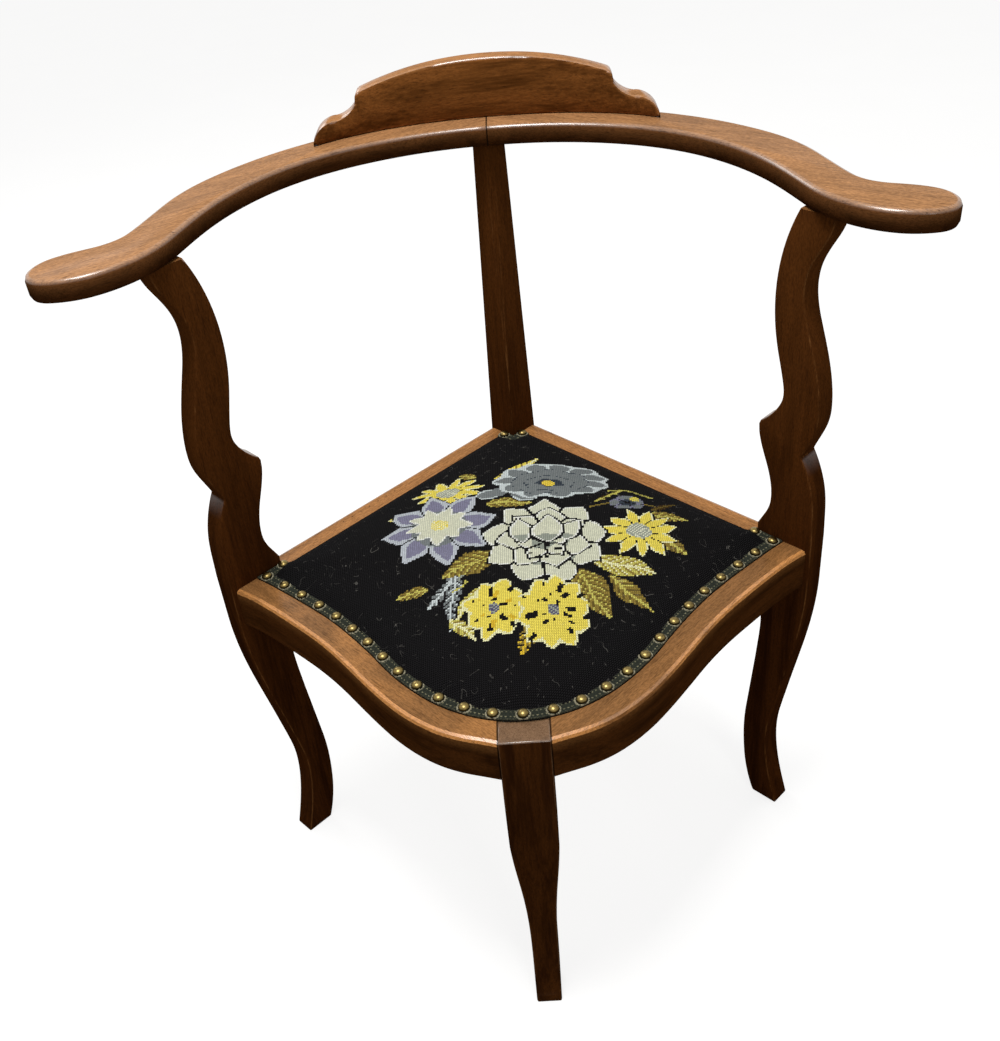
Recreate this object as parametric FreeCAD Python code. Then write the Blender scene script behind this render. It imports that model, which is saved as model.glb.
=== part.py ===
import FreeCAD, Part
import math
import os

# Corner chair with a stuffed seat.
# Millimetres, +Z up, +X to the right, the front leg points along -Y.
# The origin is the middle of the footprint, on the floor.
# The seat is a square that stands on one corner.
# On the right side a point is given by two numbers, both seen from above:
# n is its distance from the middle square to the rear rail, along (1, 1),
# u is its distance along that rail towards the side post, along (1, -1).
# The left side is the mirror image of the right side.
# The curved outlines are drawn in shares of the named sizes that they belong to.

os.makedirs("parts", exist_ok=True)
V = FreeCAD.Vector

# Heights
rail_top = 388.0            # wooden top of the seat frame
rail_height = 45.0
arm_under = 737.0           # underside of the arms, which is the top of the posts
arm_thick = 21.0
nose_high = 127.0           # nose on the inner edge of the side posts, above the seat frame
crest_height = 59.0         # crest rail above the arms, at the middle
crest_fall = 18.0           # how much lower its top is at the shoulders

# Plan
rear_face = 206.0           # n of the outer faces of the rear rails
rear_thick = 30.0           # rear rails
rear_show = 22.0            # bare wood beside the cover on the rear rails
post_face = 190.0           # n of the broad front face of the side posts
post_board = 24.5           # thickness of the side posts
post_inner = 161.5          # u of the side post's edge that takes the rear rail
post_wide = 63.5            # width of the side posts at the seat frame
front_thick = 48.0          # front rails
front_show = 25.0           # bare wood beside the braid on the front rails

# Arms
arm_front_mid = 234.0       # inner edge at the middle, from the middle of the seat
arm_width = 54.0            # at the middle
arm_half = 380.0            # half the width of the bow
arm_reach = 308.0           # how far the hand rests come forward of the bow's inner edge

# Front leg
leg_front = 255.0           # its front face from the middle of the seat
leg_wide = 46.0
leg_deep = 46.0
leg_foot_wide = 26.0
leg_foot_deep = 33.0
leg_hollow = 17.5           # how deep the front of the leg curves in above the foot
toe_out = 2.0               # how far its foot stands out past the front face

# Rear post
rear_square = 37.0          # side of its square section at the seat
rear_square_top = 24.0
rear_square_foot = 28.0
rear_lean = 8.0             # how far its outer faces come in towards the arms
rear_kick = 10.0            # how far the foot stands out behind the seat
chamfer_start = 70.0        # height of the chamfer's stop above the seat frame
chamfer_deep = 5.0          # how deep the chamfer cuts the front corner at the top

# Crest rail
crest_thick = 22.0
crest_back_inset = 2.0      # from the rear edge of the arms
crest_half_top = 128.0      # half length along the top
crest_half_foot = 172.0     # half length along the arms
crest_bend = 51.0           # how far its ends lie in front of its middle
crest_toe = 18.0            # height of the rounded toes

# Joinery
rebate = 4.0                # step in the rails that takes the edge of the cover
tenon_thick = 10.0
tenon_high = 28.0
tenon_long = 15.0
dowel_dia = 10.0
dowel_long = 24.0
crest_dowel_dia = 8.0
crest_dowel_long = 20.0
fit_gap = 0.15              # clearance all round a dowel or a tenon
block_side = 70.0           # corner blocks, along each rail
block_high = 28.0
block_drop = 10.0           # from the rebate down to the top of the blocks
block_lap = 16.0            # how far a block reaches past the corner that it fills

# Upholstery
strap_wide = 50.0
strap_thick = 1.2
strap_count = 4             # straps each way
strap_pitch = 68.0
hessian_thick = 0.8
cover_thick = 3.0
rim_thick = 1.0             # flat edge of the cover under the braid
crown = 27.0                # rise of the seat above the braid's level
cloth_gap = 0.3             # between cloth and wood
post_step = 4.5             # where the cover turns out to the post, before the post's edge
braid_wide = 12.0
braid_thick = 3.0
nail_dia = 9.5
nail_high = 3.2
nail_count = 13             # along one front rail
nail_sides = 8

# Softened edges
rail_round = 4.0            # outer top edge of the rails
arm_round = 5.0             # edges of the arms

# Derived heights and places
rail_under = rail_top - rail_height
arm_top = arm_under + arm_thick
nose_z = rail_top + nose_high
rebate_z = rail_top - rebate
strap_top = rebate_z + 2 * strap_thick
rim_z = strap_top + hessian_thick
braid_z = rim_z + rim_thick
nail_z = braid_z + braid_thick
cover_n = rear_face - rear_show
arm_back_mid = arm_front_mid + arm_width
shift_y = (leg_front + toe_out - (rear_face + rear_kick) * math.sqrt(2)) / 2
far = 2 * rear_face


def at(n, u, z=0.0):
    # point of the right side from its two plan numbers
    return V((n + u) / math.sqrt(2), (n - u) / math.sqrt(2), z)


def plan_n(p):
    return (p.x + p.y) / math.sqrt(2)


def plan_u(p):
    return (p.x - p.y) / math.sqrt(2)


def between(low, high, share):
    return low + (high - low) * share


def arc_to(a, direction, b):
    # arc that leaves a in the given direction and ends at b, or a straight line where it is that flat
    chord = b - a
    turn = direction.cross(chord).z / (chord.Length + direction.dot(chord))
    if abs(turn) * chord.Length < 0.01:
        return Part.LineSegment(a, b)
    return Part.Arc(a, (a + b) / 2 + V(chord.y, -chord.x, 0) * turn / 2, b)


def smooth(points, first=None, last=None):
    # smooth line of arcs through points in the XY plane: each joint of two arcs with its direction
    curve = Part.BSplineCurve()
    curve.interpolate(points)
    ways = [curve.tangent(t)[0] for t in curve.getKnots()]
    ways[0], ways[-1] = first or ways[0], last or ways[-1]
    joints = []
    for a, b, out, arrive in zip(points, points[1:], ways, ways[1:]):
        span = b - a
        pull, spread = span.dot(out + arrive), 2 * (1 - out.dot(arrive))
        reach = span.dot(span) / (pull + math.sqrt(pull ** 2 + spread * span.dot(span)))
        middle = b - a - (out + arrive) * reach
        joints += [(a, out), ((a + b + (out - arrive) * reach) / 2, middle.normalize())]
    return joints + [(points[-1], ways[-1])]


def parallel(joints, distance):
    # the same line at a steady distance to its left
    return [(p + V(-way.y, way.x, 0) * distance, way) for p, way in joints]


def edges(joints):
    return [arc_to(a, way, b).toShape() for (a, way), (b, _) in zip(joints, joints[1:])]


def bend(points, first=None, last=None):
    return edges(smooth(points, first, last))


def straight(*points):
    return [Part.LineSegment(a, b).toShape() for a, b in zip(points, points[1:])]


def outline(*runs):
    # closed wire from runs of edges
    return Part.Wire(Part.__sortEdges__(sum(runs, [])))


def prism(wire, direction):
    # solid with the wire as its outline
    return Part.Face(wire).extrude(direction)


def stacked(rings):
    # solid between closed rings of edges, one above the other, with the same edges in the same order
    faces = [Part.Face(outline(rings[0])), Part.Face(outline(rings[-1]))]
    for lower, upper in zip(rings, rings[1:]):
        for a, b in zip(lower, upper):
            if a.Curve.TypeId == "Part::GeomLine":
                corners = [a.Vertexes[0].Point, a.Vertexes[1].Point, b.Vertexes[1].Point, b.Vertexes[0].Point]
                faces.append(Part.Face(Part.makePolygon(corners + corners[:1])))
            else:
                faces.append(Part.makeRuledSurface(a, b))
    shell = Part.makeShell(faces)
    shell.sewShape()
    solid = Part.makeSolid(shell)
    if solid.Volume < 0:
        solid.reverse()
    return solid


def mirrored(shape):
    return shape.mirror(V(0, 0, 0), V(1, 0, 0))


def stand_up(shape, turn=0.0):
    # what was drawn on the floor now stands on its lower edge, turned about the upright axis
    shape.rotate(V(0, 0, 0), V(1, 0, 0), 90)
    shape.rotate(V(0, 0, 0), V(0, 0, 1), turn)
    return shape


def box_nu(n0, n1, u0, u1, z0, z1):
    # box whose sides follow the right rear rail
    corners = [at(n0, u0, z0), at(n1, u0, z0), at(n1, u1, z0), at(n0, u1, z0), at(n0, u0, z0)]
    return prism(Part.makePolygon(corners), V(0, 0, z1 - z0))


def round_over(radius, z0, z1):
    # inset and height of each ring of a board whose lower and upper edges are rounded
    cut = radius * (1 - math.sqrt(0.5))
    low = [(radius, z0), (cut, z0 + cut), (0, z0 + radius)]
    return low + [(inset, z0 + z1 - z) for inset, z in low[::-1]]


# Outer line of the right front rail, seen from above: hollow near the post, full near the leg
rail_start = V(leg_wide / 2, -leg_front, 0)
rail_end = at(post_face, post_inner + 0.914 * post_wide)


def rail_point(along, out):
    return V(between(rail_start.x, rail_end.x, along), between(rail_start.y, rail_end.y, out), 0)


rail_line = smooth([
    rail_point(-0.053, -0.021), rail_point(0.008, 0.004), rail_point(0.161, 0.064),
    rail_point(0.304, 0.175), rail_point(0.454, 0.367), rail_point(0.626, 0.615),
    rail_point(0.799, 0.812), rail_end, at(post_face + 0.75 * post_board, post_inner + post_wide),
])


def crossing(joints, reading, wanted):
    # joints up to the place where the reading of the line's points passes the wanted value
    kept = [joint for joint in joints if reading(joint[0]) < wanted]
    start, way = kept[-1]
    curve = arc_to(start, way, joints[len(kept)][0])
    low, high = curve.FirstParameter, curve.LastParameter
    if reading(curve.value(low)) > wanted:
        low, high = high, low
    for _ in range(40):
        middle = (low + high) / 2
        low, high = (middle, high) if reading(curve.value(middle)) < wanted else (low, middle)
    return kept + [(curve.value(low), way)]


def band_wire(inside, outside, z):
    # outline of a strip along the right front rail between two distances from its outer line
    a, b = parallel(rail_line, inside), parallel(rail_line, outside)
    wire = outline(edges(a), edges(b), straight(a[0][0], b[0][0]), straight(a[-1][0], b[-1][0]))
    wire.translate(V(0, 0, z))
    return wire


beyond_post = box_nu(post_face, far, -far, far, 0, arm_top)
leg_zone = Part.makeBox(leg_wide / 2 + far, far * 2, arm_top, V(-far, -far, 0))


# Side post, one piece from the floor to the arm, drawn flat on its broad front face
def side_post():
    def leg(across, share):
        return V(post_inner + across * post_wide, rail_under * share, 0)

    def seat(across, share):
        return V(post_inner + across * post_wide, between(rail_top, nose_z, share), 0)

    def arm(across, share):
        return V(post_inner + across * post_wide, between(nose_z, arm_under, share), 0)
    inner_arm = [
        arm(0.354, 1), arm(0.173, 0.865), arm(0.055, 0.64), arm(0.11, 0.437), arm(0.26, 0.257),
        arm(0.291, 0.162), arm(0.189, 0.095), arm(-0.063, 0.018),
    ]
    nose = [arm(-0.063, 0.018), arm(-0.087, 0), seat(-0.079, 0.937)]
    inner_seat = [
        seat(-0.079, 0.937), seat(0, 0.787), seat(0.126, 0.614), seat(0.205, 0.417),
        seat(0.181, 0.276), seat(0.079, 0.157), seat(0, 0.079),
    ]
    inner_leg = [
        leg(0, 0.983), leg(0.094, 0.904), leg(0.165, 0.816), leg(0.15, 0.714), leg(0.016, 0.443),
        leg(-0.031, 0.327), leg(-0.016, 0.222), leg(0.047, 0.125), leg(0.252, 0),
    ]
    outer_leg = [
        leg(0.764, 0), leg(0.551, 0.14), leg(0.465, 0.239), leg(0.457, 0.327), leg(0.543, 0.437),
        leg(0.701, 0.592), leg(0.85, 0.735), leg(0.961, 0.875), leg(1, 1),
    ]
    outer_seat = [
        seat(1, 0.094), seat(0.984, 0.291), seat(0.945, 0.488), seat(0.85, 0.661), seat(0.685, 0.835),
    ]
    outer_arm = [
        seat(0.685, 0.835), seat(0.803, 0.976), arm(0.898, 0.068), arm(0.913, 0.167),
        arm(0.835, 0.311), arm(0.677, 0.464), arm(0.551, 0.586), arm(0.52, 0.667),
        arm(0.567, 0.757), arm(0.693, 0.838), arm(0.827, 0.91), arm(0.89, 0.964),
    ]
    wire = outline(
        bend(inner_arm), straight(*nose), bend(inner_seat), straight(inner_seat[-1], inner_leg[0]),
        bend(inner_leg), straight(inner_leg[-1], outer_leg[0]), bend(outer_leg),
        straight(outer_leg[-1], outer_seat[0]), bend(outer_seat), bend(outer_arm),
        straight(outer_arm[-1], arm(0.898, 1), inner_arm[0]))
    post = stand_up(prism(wire, V(0, 0, -post_board)), -45)
    post.translate(at(post_face, 0))
    return post


# Front leg: its outlines from the front and from the side, cut into one piece
def front_leg_blank():
    def wide(share, height):
        # half width between the foot and the seat frame
        return V(between(leg_foot_wide, leg_wide, share) / 2, rail_under * height, 0)

    def deep(back, height):
        return V(back - leg_front, rail_under * height, 0)
    side = [wide(1, 0.723), wide(0.8, 0.621), wide(0.3, 0.426), wide(0.1, 0.286), wide(0.05, 0.14),
            wide(0, 0)]
    other = [V(-p.x, p.y, 0) for p in side]
    top_right, top_left = V(leg_wide / 2, rail_top, 0), V(-leg_wide / 2, rail_top, 0)
    front_view = prism(outline(bend(side), straight(side[-1], other[-1]), bend(other),
                               straight(other[0], top_left, top_right, side[0])), V(0, 0, far))
    front = [
        deep(0, 1), deep(-0.086 * leg_hollow, 0.854), deep(0.114 * leg_hollow, 0.7),
        deep(0.8 * leg_hollow, 0.437), deep(leg_hollow, 0.303), deep(0.914 * leg_hollow, 0.175),
        deep(0.514 * leg_hollow, 0.087), deep(-toe_out, 0),
    ]
    back = [
        deep(leg_foot_deep - toe_out, 0), deep(0.514 * leg_hollow + 0.985 * leg_foot_deep, 0.087),
        deep(0.914 * leg_hollow + 0.924 * leg_foot_deep, 0.175),
        deep(leg_hollow + 0.894 * leg_foot_deep, 0.303),
        deep(0.8 * leg_hollow + 0.94 * leg_foot_deep, 0.437), deep(leg_deep, 0.723), deep(leg_deep, 1),
    ]
    top_back, top_front = V(leg_deep - leg_front, rail_top, 0), V(-leg_front, rail_top, 0)
    side_view = prism(outline(bend(front), straight(front[-1], back[0]), bend(back),
                              straight(back[-1], top_back, top_front, front[0])), V(0, 0, 2 * leg_wide))
    side_view.translate(V(0, 0, -leg_wide))
    return stand_up(front_view).common(stand_up(side_view, 90))


# Rear post: square, one corner to the front, tapered above the seat
def rear_post_blank():
    top_n = rear_face - rear_lean

    def p(n, z):
        return V(n, z, 0)
    outside = [
        p(rear_face, rail_under), p(rear_face - 0.3 * rear_kick, 0.708 * rail_under),
        p(rear_face - 0.4 * rear_kick, 0.35 * rail_under), p(rear_face, 0.117 * rail_under),
        p(rear_face + rear_kick, 0),
    ]
    inside = [
        p(rear_face + rear_kick - rear_square_foot, 0),
        p(rear_face - rear_square_foot, 0.117 * rail_under),
        p(rear_face - 0.3 * rear_kick - rear_square_foot, 0.35 * rail_under),
        p(between(rear_face - rear_square, rear_face - rear_square_foot, 0.15), 0.708 * rail_under),
        p(rear_face - rear_square, rail_under),
    ]
    view = outline(bend(outside), straight(outside[-1], inside[0]), bend(inside),
                   straight(inside[-1], p(rear_face - rear_square, rail_top),
                            p(top_n - rear_square_top, arm_under), p(top_n, arm_under),
                            p(rear_face, rail_top), outside[0]))
    right = stand_up(prism(view, V(0, 0, -far)), 45)
    post = right.common(mirrored(right))
    # stopped chamfer on the front corner, wider towards the arms
    ridge_low = (rear_face - rear_square) * math.sqrt(2)
    ridge_top = (top_n - rear_square_top) * math.sqrt(2)
    start = rail_top + chamfer_start
    ridge_start = between(ridge_low, ridge_top, chamfer_start / (arm_under - rail_top))
    wide = rear_square
    knife = Part.makePolygon([
        V(-wide, ridge_start, start), V(-wide, ridge_top + chamfer_deep, arm_under),
        V(-wide, ridge_top + chamfer_deep, arm_top), V(-wide, ridge_top - wide, arm_top),
        V(-wide, ridge_start - wide, start), V(-wide, ridge_start, start),
    ])
    return post.cut(prism(knife, V(2 * wide, 0, 0)))


# Tenons on the ends of the rails, and the sockets for them
def tenon_nu(n0, n1, u0, u1, clear):
    z = (rail_under + rebate_z) / 2
    half = tenon_high / 2 + clear
    return box_nu(n0 - clear, n1 + clear, u0, u1, z - half, z + half)


def rear_tenons(clear=0.0):
    n0 = rear_face - (rear_thick + tenon_thick) / 2
    post_side = rear_square - rear_face
    return (tenon_nu(n0, n0 + tenon_thick, post_side - tenon_long - clear, post_side + tenon_long, clear),
            tenon_nu(n0, n0 + tenon_thick, post_inner - tenon_long, post_inner + tenon_long + clear, clear))


def front_tenons(clear=0.0):
    z = (rail_under + rebate_z) / 2
    half, high = tenon_thick / 2 + clear, tenon_high / 2 + clear
    a = Part.makeBox(2 * tenon_long + clear, 2 * half, 2 * high,
                     V(leg_wide / 2 - tenon_long - clear, front_thick / 2 - leg_front - half, z - high))
    u = plan_u(crossing(parallel(rail_line, front_thick / 2), plan_n, post_face)[-1][0])
    b = tenon_nu(post_face - tenon_long + clear, post_face + tenon_long, u - half, u + half, clear)
    return a, b


# Rails
def rear_rail():
    inner, outer = rear_face - rear_thick, rear_face
    u = rear_square - rear_face
    cut = rail_round * (1 - math.sqrt(0.5))
    section = Part.makePolygon([
        at(inner, u, rail_under), at(outer, u, rail_under), at(outer, u, rail_top - rail_round),
        at(outer - cut, u, rail_top - cut), at(outer - rail_round, u, rail_top), at(inner, u, rail_top),
        at(inner, u, rail_under),
    ])
    return prism(section, at(0, post_inner - u)).fuse(list(rear_tenons())).removeSplitter()


def front_rail():
    rings = [(0, rail_under)] + round_over(rail_round, rail_under, rail_top)[3:]
    rail = Part.makeLoft([band_wire(inset, front_thick, z) for inset, z in rings], True, True)
    rail = rail.cut([beyond_post, leg_zone])
    return rail.fuse(list(front_tenons())).removeSplitter()


# Arms: each half is one board, and the two meet over the rear post
def arm():
    def inner(across, forward):
        return V(across * arm_half, arm_front_mid - forward * arm_reach, 0)

    def outer(across, forward):
        return V(across * arm_half, arm_back_mid - forward * (arm_reach + arm_width), 0)
    line = smooth([
        inner(0, 0), inner(0.242, 0.045), inner(0.474, 0.201), inner(0.637, 0.474), inner(0.689, 0.659),
        inner(0.732, 0.824), inner(0.803, 0.939), inner(0.897, 0.997), inner(0.98, 0.975),
        inner(0.992, 0.875), outer(0.929, 0.829), outer(0.855, 0.785), outer(0.808, 0.674),
        outer(0.745, 0.456), outer(0.674, 0.34), outer(0.563, 0.218), outer(0.434, 0.122),
        outer(0.279, 0.047), outer(0, 0),
    ], V(1, 0, 0), V(-1, 0, 0))

    def ring(inset, z):
        inside = parallel(line, inset)
        wire = outline(edges(inside), straight(inside[-1][0], inside[0][0]))
        wire.translate(V(0, 0, z))
        return wire
    return Part.makeLoft([ring(inset, z) for inset, z in round_over(arm_round, arm_under, arm_top)],
                         True, True)


# Crest rail: a curved block on both arms, with hollow shoulders and rounded toes
def crest():
    back_y = arm_back_mid - crest_back_inset
    front_y = back_y - crest_thick

    def line(y, half):
        shape = [(1, 1), (0.779, 0.53), (0.4, 0.12), (0, 0)]
        right = [V(half * a, y - crest_bend * b, 0) for a, b in shape]
        return [V(-p.x, p.y, 0) for p in right] + right[-2::-1]
    front, back = line(front_y, crest_half_foot), line(back_y, crest_half_foot + crest_thick / 2)
    plan = outline(bend(front), straight(front[-1], back[-1]), bend(back), straight(back[0], front[0]))
    plan.translate(V(0, 0, arm_top))
    block = prism(plan, V(0, 0, crest_height))
    side_z = arm_top + crest_height - crest_fall
    toe_z = arm_top + crest_toe

    def shoulder(side):
        def p(out, z):
            return V(side * between(crest_half_top, crest_half_foot, out), z, 0)
        corner, toe = p(0.034, between(toe_z, side_z, 0.565)), p(0.5, between(toe_z, side_z, 0.043))
        hollow = Part.Arc(corner, p(0.182, between(toe_z, side_z, 0.26)), toe).toShape()
        round_toe = [toe, p(0.818, arm_top + 0.89 * crest_toe), p(0.966, arm_top + 0.5 * crest_toe),
                     p(1, arm_top)]
        return straight(p(0, side_z), corner) + [hollow] + bend(round_toe)
    near_z = arm_top + crest_height - 0.28 * crest_fall
    top = bend([V(-crest_half_top, side_z, 0), V(-0.55 * crest_half_top, near_z, 0),
                V(0, arm_top + crest_height, 0), V(0.55 * crest_half_top, near_z, 0),
                V(crest_half_top, side_z, 0)])
    foot = straight(V(-crest_half_foot, arm_top, 0), V(crest_half_foot, arm_top, 0))
    view = stand_up(prism(outline(top, shoulder(1), foot, shoulder(-1)), V(0, 0, -arm_back_mid - far)))
    return block.common(view)


# Round dowels, each half in one piece and half in the other
def dowels(spots, z, dia, long, clear=0.0):
    half = long / 2 + clear
    return [Part.makeCylinder(dia / 2 + clear, 2 * half, V(p.x, p.y, z - half), V(0, 0, 1))
            for p in spots]


post_top = at(post_face + post_board / 2, post_inner + 0.626 * post_wide)
post_spots = [V(-post_top.x, post_top.y, 0),
              V(0, (rear_face - rear_lean - rear_square_top / 2) * math.sqrt(2), 0), post_top]
crest_mid = arm_back_mid - crest_back_inset - crest_thick / 2
crest_spots = [V(x * crest_half_foot, crest_mid - fall * crest_bend, 0)
               for x, fall in ((-0.756, 0.46), (-0.262, 0.05), (0.262, 0.05), (0.756, 0.46))]


# Seat outline: straight along the rear rails, curved along the front rails
bare_line = parallel(rail_line, front_show)
seat_points = [V(0, front_show - leg_front, 0)] + [bare_line[i][0] for i in (6, 10, 12, 16)]
seat_line = smooth(seat_points, V(1, 0, 0), bare_line[-1][1])


def seat_curve(inside, n):
    # right half of the front edge, at a steady distance inside the bare wood, as far as n
    return crossing(parallel(seat_line, inside), plan_n, n)


def seat_edges(inside, z, share=1.0, round_posts=False, curved=True):
    # edges of the closed outline; round the posts it steps out to their broad faces
    n = cover_n - inside
    n_post = post_face - cloth_gap - inside
    curve = seat_curve(inside, n_post if round_posts else n)
    corner = [curve[-1][0]]
    if round_posts:
        step_u = post_inner - post_step
        corner += [at(n_post, step_u + inside), at(n, step_u + inside)]
    corner.append(V(0, n * math.sqrt(2), 0))
    corner += [V(-p.x, p.y, 0) for p in corner[-2::-1]]
    right = edges(curve) if curved else straight(*[p for p, _ in curve])
    ring = right + [mirrored(edge) for edge in right] + straight(*corner)
    for edge in ring:
        edge.scale(share)
        edge.translate(V(0, 0, z))
    return ring


def seat_wire(*size):
    return outline(seat_edges(*size))


def rear_corner(size, z0, z1):
    # square zone at the rear corner, as far forward as n = size
    return box_nu(size, far, -far, -size, z0, z1)


post_n = rear_face - rear_square
seat_well = prism(seat_wire(0, rebate_z, 1.0, True), V(0, 0, 2 * rebate))
post_zone = rear_corner(post_n - cloth_gap, 0, arm_under)
braid_zone = rear_corner(post_n - 2 * cloth_gap - braid_wide, rim_z, arm_under)


def sheet(inside, z, thick):
    # flat layer in the well of the seat frame, cut round the rear post
    return prism(seat_wire(inside, z, 1.0, True), V(0, 0, thick)).cut(post_zone)


# Webbing: straps both ways, one layer on the other
def straps():
    middle_u = (post_inner - cover_n) / 2
    first = middle_u - strap_pitch * (strap_count - 1) / 2
    well = prism(seat_wire(2 * cloth_gap, rebate_z), V(0, 0, strap_thick))
    lower = []
    for i in range(strap_count):
        u = first + i * strap_pitch
        strip = box_nu(-far, far, u - strap_wide / 2, u + strap_wide / 2, rebate_z, strap_top)
        lower.append(strip.common(well).Solids[0])
    upper = [mirrored(one) for one in lower]
    for one in upper:
        one.translate(V(0, 0, strap_thick))
    return Part.makeCompound(lower + upper)


# Domed pad: the same outline, drawn in at the sides and crowned
crown_form = [(1.0, 0.0), (0.985, 0.3), (0.93, 0.62), (0.78, 0.87), (0.45, 1.0)]


def pad(inside, top_z, curved=True):
    # the hidden inner forms have chords in place of the arcs
    return stacked([seat_edges(inside, between(rim_z, top_z, rise), share, False, curved)
                    for share, rise in crown_form])


crown_z = braid_z + crown
pad_edge = braid_wide + 2 * cloth_gap
inner_edge = post_n - 2 * cloth_gap - braid_wide - cover_thick
cover_dome = pad(pad_edge, crown_z).cut([post_zone, braid_zone])
cavity = pad(pad_edge + cover_thick, crown_z - cover_thick, False)
cavity = cavity.cut(rear_corner(inner_edge, 0, arm_under))
stuffing = pad(pad_edge + cover_thick + cloth_gap, crown_z - cover_thick - cloth_gap, False)
stuffing = stuffing.cut(rear_corner(inner_edge - cloth_gap, 0, arm_under))
seat_cover = sheet(cloth_gap, rim_z, rim_thick).fuse(cover_dome).cut(cavity)

# Braid round the front of the seat and the feet of the posts
braid_ring = sheet(cloth_gap, braid_z, braid_thick).cut(
    prism(seat_wire(cloth_gap + braid_wide, braid_z, 1.0, True), V(0, 0, braid_thick)))
right_half = Part.makeBox(far, 2 * far, arm_under, V(0, -far, 0))
braid_right = braid_ring.common(box_nu(-far, far, post_inner - post_step - cloth_gap, far, 0, arm_under))
braid_right = braid_right.common(right_half)
braid_rear = box_nu(post_n - cloth_gap - braid_wide, cover_n - cloth_gap, cloth_gap - cover_n,
                    cloth_gap + braid_wide - post_n, braid_z, nail_z).cut(post_zone)


# Dome nails, one by one along the middle of the braid
def nail(p):
    rings = []
    for angle in (0, 35, 65, 85):
        radius = nail_dia / 2 * math.cos(math.radians(angle))
        z = nail_z + nail_high * math.sin(math.radians(angle)) / math.sin(math.radians(85))
        corners = [V(p.x + radius * math.cos(2 * math.pi * i / nail_sides),
                     p.y + radius * math.sin(2 * math.pi * i / nail_sides), z)
                   for i in range(nail_sides)]
        rings.append(straight(*corners, corners[0]))
    return stacked(rings)


braid_mid = cloth_gap + braid_wide / 2
nail_line = Part.Wire(edges(seat_curve(braid_mid, post_face - 1.4 * braid_mid)))
spots = nail_line.discretize(Number=nail_count + 1)
post_spot = at(post_face - braid_mid, post_inner - post_step + braid_wide / 2)
rear_spot = at(post_n - braid_mid, braid_wide / 2 - cover_n)
nails_left = [nail(V(-p.x, p.y, 0)) for p in spots[1:] + [post_spot]]
nails_right = [nail(p) for p in spots + [post_spot]]
nails_rear = [nail(rear_spot), nail(V(-rear_spot.x, rear_spot.y, 0))]

# Frame pieces, with their sockets and dowel holes
rear_socket_a, rear_socket_b = rear_tenons(fit_gap)
front_socket_a, front_socket_b = front_tenons(fit_gap)
post_holes = dowels(post_spots, arm_under, dowel_dia, dowel_long, fit_gap)
crest_holes = dowels(crest_spots, arm_top, crest_dowel_dia, crest_dowel_long, fit_gap)
side_right = side_post().cut([rear_socket_b, front_socket_b, post_holes[2]])
leg = front_leg_blank().cut([front_socket_a, mirrored(front_socket_a), seat_well])
back_post = rear_post_blank().cut([rear_socket_a, mirrored(rear_socket_a), post_holes[1]])
rail_rear_right = rear_rail().cut(seat_well)
rail_front_right = front_rail().cut(seat_well)
arm_right = arm().cut(post_holes + crest_holes)
crest_rail = crest().cut(crest_holes)


# Corner blocks, glued in the angles under the webbing
def block(points, neighbours):
    top = rebate_z - block_drop
    outline = Part.makePolygon([V(p.x, p.y, top - block_high) for p in points + points[:1]])
    return prism(outline, V(0, 0, block_high)).cut(neighbours)


rail_in = rear_face - rear_thick
side_u = post_inner + block_lap
side_block = block([at(rail_in, side_u), at(rail_in, side_u - block_lap * 0.7 - block_side),
                    at(rail_in - block_side, side_u)], [rail_front_right])
rear_block = block([at(rail_in, -rail_in), at(rail_in, block_side - rail_in),
                    at(rail_in - block_side, -rail_in)], [back_post])
front_y = leg_deep - leg_front
front_block = block([V(-leg_wide * 0.65, front_y - block_lap, 0), V(leg_wide * 0.65, front_y - block_lap, 0),
                     V(block_side * 1.42, front_y + block_side * 0.63, 0),
                     V(-block_side * 1.42, front_y + block_side * 0.63, 0)],
                    [leg, rail_front_right, mirrored(rail_front_right)])

pieces = {
    "front_leg": leg,
    "left_post": mirrored(side_right),
    "right_post": side_right,
    "rear_post": back_post,
    "front_rail_left": mirrored(rail_front_right),
    "front_rail_right": rail_front_right,
    "rear_rail_left": mirrored(rail_rear_right),
    "rear_rail_right": rail_rear_right,
    "arm_left": mirrored(arm_right),
    "arm_right": arm_right,
    "crest_rail": crest_rail,
    "post_dowels": Part.makeCompound(dowels(post_spots, arm_under, dowel_dia, dowel_long)),
    "crest_dowels": Part.makeCompound(dowels(crest_spots, arm_top, crest_dowel_dia, crest_dowel_long)),
    "corner_block_left": mirrored(side_block),
    "corner_block_right": side_block,
    "corner_block_rear": rear_block,
    "corner_block_front": front_block,
    "webbing": straps(),
    "hessian": sheet(cloth_gap, strap_top, hessian_thick),
    "seat_stuffing": stuffing,
    "seat_cover": seat_cover,
    "braid_left": mirrored(braid_right),
    "braid_right": braid_right,
    "braid_rear": braid_rear,
    "dome_nails_left": Part.makeCompound(nails_left),
    "dome_nails_right": Part.makeCompound(nails_right),
    "dome_nails_rear": Part.makeCompound(nails_rear),
}
for name, shape in pieces.items():
    shape.translate(V(0, shift_y, 0))
    box = shape.BoundBox
    print(name, len(shape.Solids), shape.isValid(), round(shape.Volume), "mm3",
          [round(v) for v in (box.XMin, box.XMax, box.YMin, box.YMax, box.ZMin, box.ZMax)])
    shape.exportStep("parts/" + name + ".step")
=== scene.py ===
# %% [markdown]
# # A corner chair, dressed in Blender
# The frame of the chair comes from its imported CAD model: the wooden pieces, the pad, the braid and the nails
# all have their size and place there. This file gives them their wood, cloth, braid and brass, softens the
# edges as long use does, and sets up a camera and lights to look at them.

# %% Load the chair's frame
import bpy
import bmesh
import math
from mathutils import Matrix, Vector


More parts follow.
